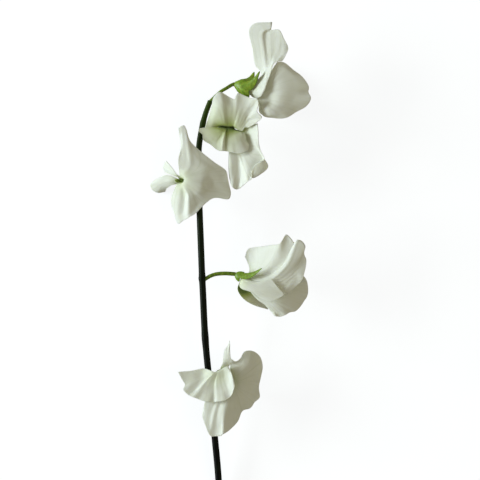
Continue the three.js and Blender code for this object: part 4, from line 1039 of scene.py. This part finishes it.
WING_LEFT_5: Ribs = (
    ((-8.6, -47.9, 15.2), (-13.5, -46.3, 12.2), (-19.5, -47.4, 11.9), (-26.5, -48, 11.6)),
    ((-8.4, -48, 15.5), (-13.8, -48.8, 12.5), (-19, -50, 12.4), (-24.6, -51.6, 12.2)),
    ((-8.2, -48.1, 15.6), (-13.9, -50.6, 12.8), (-18.4, -52.6, 12.8), (-23, -54.4, 12.8)),
    ((-8, -48.1, 15.6), (-13.7, -51.8, 13.1), (-18, -54.8, 13), (-23.8, -56.8, 13)),
    ((-7.7, -48, 15.6), (-13.1, -52.4, 13.6), (-16.9, -56.2, 13.2), (-20.8, -59.8, 12.8)),
    ((-7.4, -47.9, 15.6), (-12.2, -52.4, 14.6), (-15.4, -56.4, 14.5), (-18, -60.9, 13.8)),
    ((-7, -47.8, 15.6), (-11, -52.6, 14.8), (-13.2, -57, 14.6), (-14.8, -62.2, 14.2)),
    ((-6.6, -47.7, 15.6), (-9.6, -52.8, 14.9), (-10.8, -57.4, 14.8), (-11.4, -63, 14.4)),
    ((-6.2, -47.5, 15.6), (-8.2, -52.8, 15), (-8.6, -57.4, 15), (-8.6, -62.9, 14.8)),
    ((-5.8, -47.3, 15.6), (-7, -52.6, 15.6), (-6.8, -57.4, 15.9), (-7.2, -62.8, 15.8)),
    ((-5.2, -47, 15.6), (-5.4, -52.2, 15.9), (-4.6, -57.2, 16.4), (-4.2, -62.5, 16.4)),
    ((-4.5, -46.7, 15.6), (-3.8, -51.6, 16.2), (-2.6, -56.6, 16.9), (-1.8, -61.6, 17)),
    ((-3.8, -46.3, 15.6), (-2.4, -50.6, 16.6), (-1.2, -55.4, 17.4), (-0.2, -60.2, 17.6)),
    ((-3, -45.8, 15.8), (-1.2, -49.4, 17.4), (0.2, -53.8, 18.6), (1.3, -58, 18.9)),
    ((-2.2, -45.4, 15.8), (-0.4, -48, 17.8), (1, -51.6, 19.5), (1.9, -55, 19.8)),
    ((-1.4, -45.2, 15.6), (-0.3, -47, 17.4), (0.6, -49.2, 19.1), (1.4, -51.6, 19.7)),
)

FLOWER_1 = Flower(
    number=1,
    pedicel=Stalk(
        line=((-10.3, 87.4, 13.8), (-5, 92.2, 14.5), (-2, 94, 14.4), (0.4, 95.5, 13.8),
              (2, 96.1, 13.5)),
    ),
    calyx=Calyx(
        base=(1.8, 96.1, 13.5), axis=(7.8, -2.4, 0), up=(0, 1, 0),
        length=7.9, mouth=4.3,
        teeth=(
            Tooth(3.2, 0.1, (-1.8, 4.6, -1)),
            Tooth(6.2, 0.1, (-1, 8.6, 2)),
            Tooth(1.2),
            Tooth(1.2),
            Tooth(3.4, 0.1, (-0.6, 3, 0)),
        ),
    ),
    petals=(
        Petal("standard", ((7.4, 96.8, 14.8), (7.4, 94.6, 16.6)), STANDARD_1, CALM, throat=2.0),
        Petal("wing_right", ((7.6, 93.4, 14.2), (7.6, 92.2, 13.8)), WING_RIGHT_1, throat=2.0),
    ),
    keel=Keel(
        base=(8, 93.2, 13), along=(0.96, -0.28, -0.1), side=(0, 0, 1),
        length=17.0, depth=3.6, half_width=1.1,
    ),
    far_wing=FarWing("wing_left", "wing_right", plane=13.0, depth=1.47, inset=0.92),
)

FLOWER_2 = Flower(
    number=2,
    pedicel=Stalk(
        line=((-14.6, 70.4, 12.4), (-12, 71.2, 8.6), (-9, 72.6, 5.4), (-6, 73.8, 3.6),
              (-2.9, 74.6, 3.9)),
    ),
    calyx=Calyx(
        base=(-2.6, 74.6, 4), axis=(1.6, 0, 7), up=(0, 1, 0),
        length=3.9, mouth=3.4,
        teeth=(Tooth(0.5, 0.3),) * 5,
    ),
    petals=(
        Petal("standard", ((-3.8, 75.5, 6.9), (-0.2, 75.5, 6.9)), STANDARD_2, throat=9.8),
        Petal("wing_right", ((-3.9, 74.1, 7.1), (-3.4, 73.3, 7.1)), WING_RIGHT_2, CALM, throat=11.0),
        Petal("wing_left", ((0.5, 74.6, 7.9), (0.4, 73.9, 8.1)), WING_LEFT_2, throat=9.0),
        Petal("keel", ((-2.6, 73.1, 7.1), (-1.5, 73, 7.1)), KEEL_2, CALM, throat=11.0),
    ),
)

FLOWER_3 = Flower(
    number=3,
    pedicel=Stalk(
        line=((-16.4, 36.6, 13.3), (-17.4, 39, 10.6), (-17.8, 42, 8.6), (-17.8, 45.2, 8.2),
              (-18.8, 47, 8.9)),
    ),
    calyx=Calyx(
        base=(-18.6, 47, 8.9), axis=(-1, 0.06, 0.32), up=(0, 0, 1),
        length=4.4, mouth=2.7,
        teeth=(Tooth(0.4, 0.1), Tooth(0.8, 0.1), Tooth(3.0, 0.3), Tooth(3.0, 0.3), Tooth(0.8, 0.1)),
    ),
    petals=(
        Petal("standard", ((-22.7, 48.2, 11.7), (-22.7, 46.6, 11.7)), STANDARD_3, throat=2.5),
        Petal("wing_right", ((-23.2, 48.6, 10.8), (-23.2, 48.1, 10.1)), WING_RIGHT_3, CALM, throat=1.0),
        Petal("wing_left", ((-23.6, 46.6, 9.2), (-23.6, 46, 8.8)), WING_LEFT_3, CALM, throat=1.0),
    ),
    keel=Keel(
        base=(-23.6, 47.5, 11.2), along=(-1, 0.06, 0.1), side=(0, 1, 0),
        length=4.4, depth=1.0, half_width=0.9,
    ),
)

FLOWER_4 = Flower(
    number=4,
    pedicel=Stalk(
        line=((-13.6, -2, 13.1), (-10, 0.1, 13.6), (-7, 1, 13.8), (-3, 1.3, 13.9), (2.4, 1, 14)),
        start_radius=0.95,
        end_radius=1.0,
    ),
    calyx=Calyx(
        base=(2.2, 1, 14), axis=(5, -2.4, 0), up=(0, 1, 0),
        length=3.0, mouth=2.7,
        teeth=(
            Tooth(0.8, 0.2),
            Tooth(10.0, 0.3, (0.8, 7, 1.6)),
            Tooth(0.5),
            Tooth(0.5),
            Tooth(0.8, 0.1),
        ),
    ),
    petals=(
        Petal("standard", ((5, 0.9, 13), (5.2, 0.5, 14.4)), STANDARD_4, throat=2.0),
        Petal("wing_right", ((5.2, -0.6, 15.4), (5.1, -1.3, 15)), WING_RIGHT_4, CALM, throat=1.0),
        Petal("wing_left", ((5, -0.6, 13.2), (4.8, -1.2, 13.4)), WING_LEFT_4, throat=1.0),
        Petal("keel", ((4.9, -2, 12.8), (4.9, -2.1, 12.2)), KEEL_4, CALM, throat=8.5),
    ),
)

FLOWER_5 = Flower(
    number=5,
    pedicel=Stalk(
        line=((-10.8, -54.6, 9.4), (-9.4, -54.4, 6.6), (-7.8, -53.4, 4.4), (-6.2, -52, 3.6),
              (-4.6, -50.6, 4.6)),
    ),
    calyx=Calyx(
        base=(-4.6, -50.6, 4.6), axis=(0.05, 0.1, 1), up=(1, 0, 0),
        length=3.6, mouth=3.3,
        teeth=(Tooth(0.5, 0.3),) * 5,
    ),
    petals=(
        Petal("standard", ((-2.8, -51, 8.5), (-3.6, -51.9, 8.6)), STANDARD_5, throat=3.0),
        Petal("wing_right", ((-4.2, -48, 8.4), (-3.4, -48, 8.4)), WING_RIGHT_5, CALM, throat=0.5),
        Petal("wing_left", ((-5.9, -49.6, 8.6), (-5.3, -50.2, 8.6)), WING_LEFT_5, throat=4.0),
    ),
    keel=Keel(
        base=(-4.6, -50.9, 9.2), along=(-0.25, -0.5, 0.83), side=(1, 0, 0),
        length=4.2, depth=0.9, half_width=0.6,
    ),
)

FLOWERS = (FLOWER_1, FLOWER_2, FLOWER_3, FLOWER_4, FLOWER_5)

MAIN_STEM = Stalk(
    line=(
        (-4, -126.9, 1.76), (-5.6, -110, 3.2), (-6.5, -97, 4.5), (-7.9, -82, 6.3),
        (-10.5, -55, 9), (-12.7, -32, 10.9), (-13.9, -8, 12.6), (-14.3, 0, 13.2),
        (-15, 18, 13.5), (-15.6, 34, 13.6), (-16, 50, 13.6), (-15.9, 64, 13.5),
        (-14.6, 73, 13.4), (-12.8, 80.5, 13.4), (-10.2, 87.6, 13.8),
    ),
    start_radius=1.65,
    end_radius=1.25,
    taper=4.0,
    sides=32,
    steps=320,
    swellings=((0.49, 0.012, 0.16), (0.36, 0.01, 0.1), (0.7, 0.01, 0.1), (0.89, 0.012, 0.1)),
)


# ---- Studio ----


@dataclass(frozen=True)
class Lamp:
    """One soft rectangular studio lamp."""

    name: str
    place: Point
    aim: Point
    width: float
    height: float
    watts: float
    colour: str

    def build(self) -> None:
        """Add the lamp to the scene, turned towards its aim."""
        data = bpy.data.lights.new(self.name, "AREA")
        data.shape = "RECTANGLE"
        data.size = self.width * MM
        data.size_y = self.height * MM
        data.energy = self.watts
        data.color = linear_colour(self.colour)[:3]
        lamp = bpy.data.objects.new(self.name, data)
        lamp.location = Vector(self.place) * MM
        towards = Vector(self.aim) - Vector(self.place)
        lamp.rotation_euler = towards.to_track_quat("-Z", "Y").to_euler()
        bpy.context.scene.collection.objects.link(lamp)


@dataclass(frozen=True)
class Studio:
    """A pale floor, soft lamps and a camera that looks straight down."""

    camera_centre: tuple[float, float] = (4.625, 18.0)
    camera_height: float = 2400.0
    focus_height: float = 14.0
    frame_width: float = 240.0
    sensor_mm: float = 36.0
    camera_reach_m: float = 100.0
    floor_width: float = 9000.0
    lamps: tuple[Lamp, ...] = (
        Lamp("key", (-1700, 200, 400), (0, 20, 16), 1300, 560, 34.0, "#EEFBFC"),
        Lamp("fill", (1300, -300, 1400), (0, 20, 16), 900, 900, 3.0, "#FFF0D0"),
    )
    sky: str = "#F4F0D4"
    sky_strength: float = 0.28

    def build(self) -> None:
        """Make the floor, the light and the camera."""
        scene = bpy.context.scene
        scene.view_settings.view_transform = "Standard"
        floor = bmesh.new()
        bmesh.ops.create_grid(floor, x_segments=4, y_segments=4, size=self.floor_width * MM / 2)
        sheet = linked_object("floor", floor, FLOOR_FINISH.material())
        sheet.visible_diffuse = False
        sheet.visible_glossy = False
        for lamp in self.lamps:
            lamp.build()
        world = bpy.data.worlds.new("soft sky")
        world.use_nodes = True
        backdrop = world.node_tree.nodes["Background"]
        backdrop.inputs["Color"].default_value = linear_colour(self.sky)
        backdrop.inputs["Strength"].default_value = self.sky_strength
        scene.world = world
        data = bpy.data.cameras.new("camera")
        data.sensor_width = self.sensor_mm
        data.lens = self.sensor_mm * (self.camera_height - self.focus_height) / self.frame_width
        data.clip_end = self.camera_reach_m
        camera = bpy.data.objects.new("camera", data)
        camera.location = Vector((*self.camera_centre, self.camera_height)) * MM
        scene.collection.objects.link(camera)
        scene.camera = camera


def main() -> None:
    """Build the sweet pea and the studio."""
    logging.basicConfig(level=logging.INFO, format="%(name)s: %(message)s")
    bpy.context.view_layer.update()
    Studio().build()
    finishes = {slot: finish.material() for slot, finish in FINISHES.items()}
    MAIN_STEM.build("main_stem", "stem", Slot.STEM, finishes[Slot.STEM])
    for flower in FLOWERS:
        flower.build(finishes)
        LOG.info("made flower %d", flower.number)


if __name__ == "__main__":
    main()
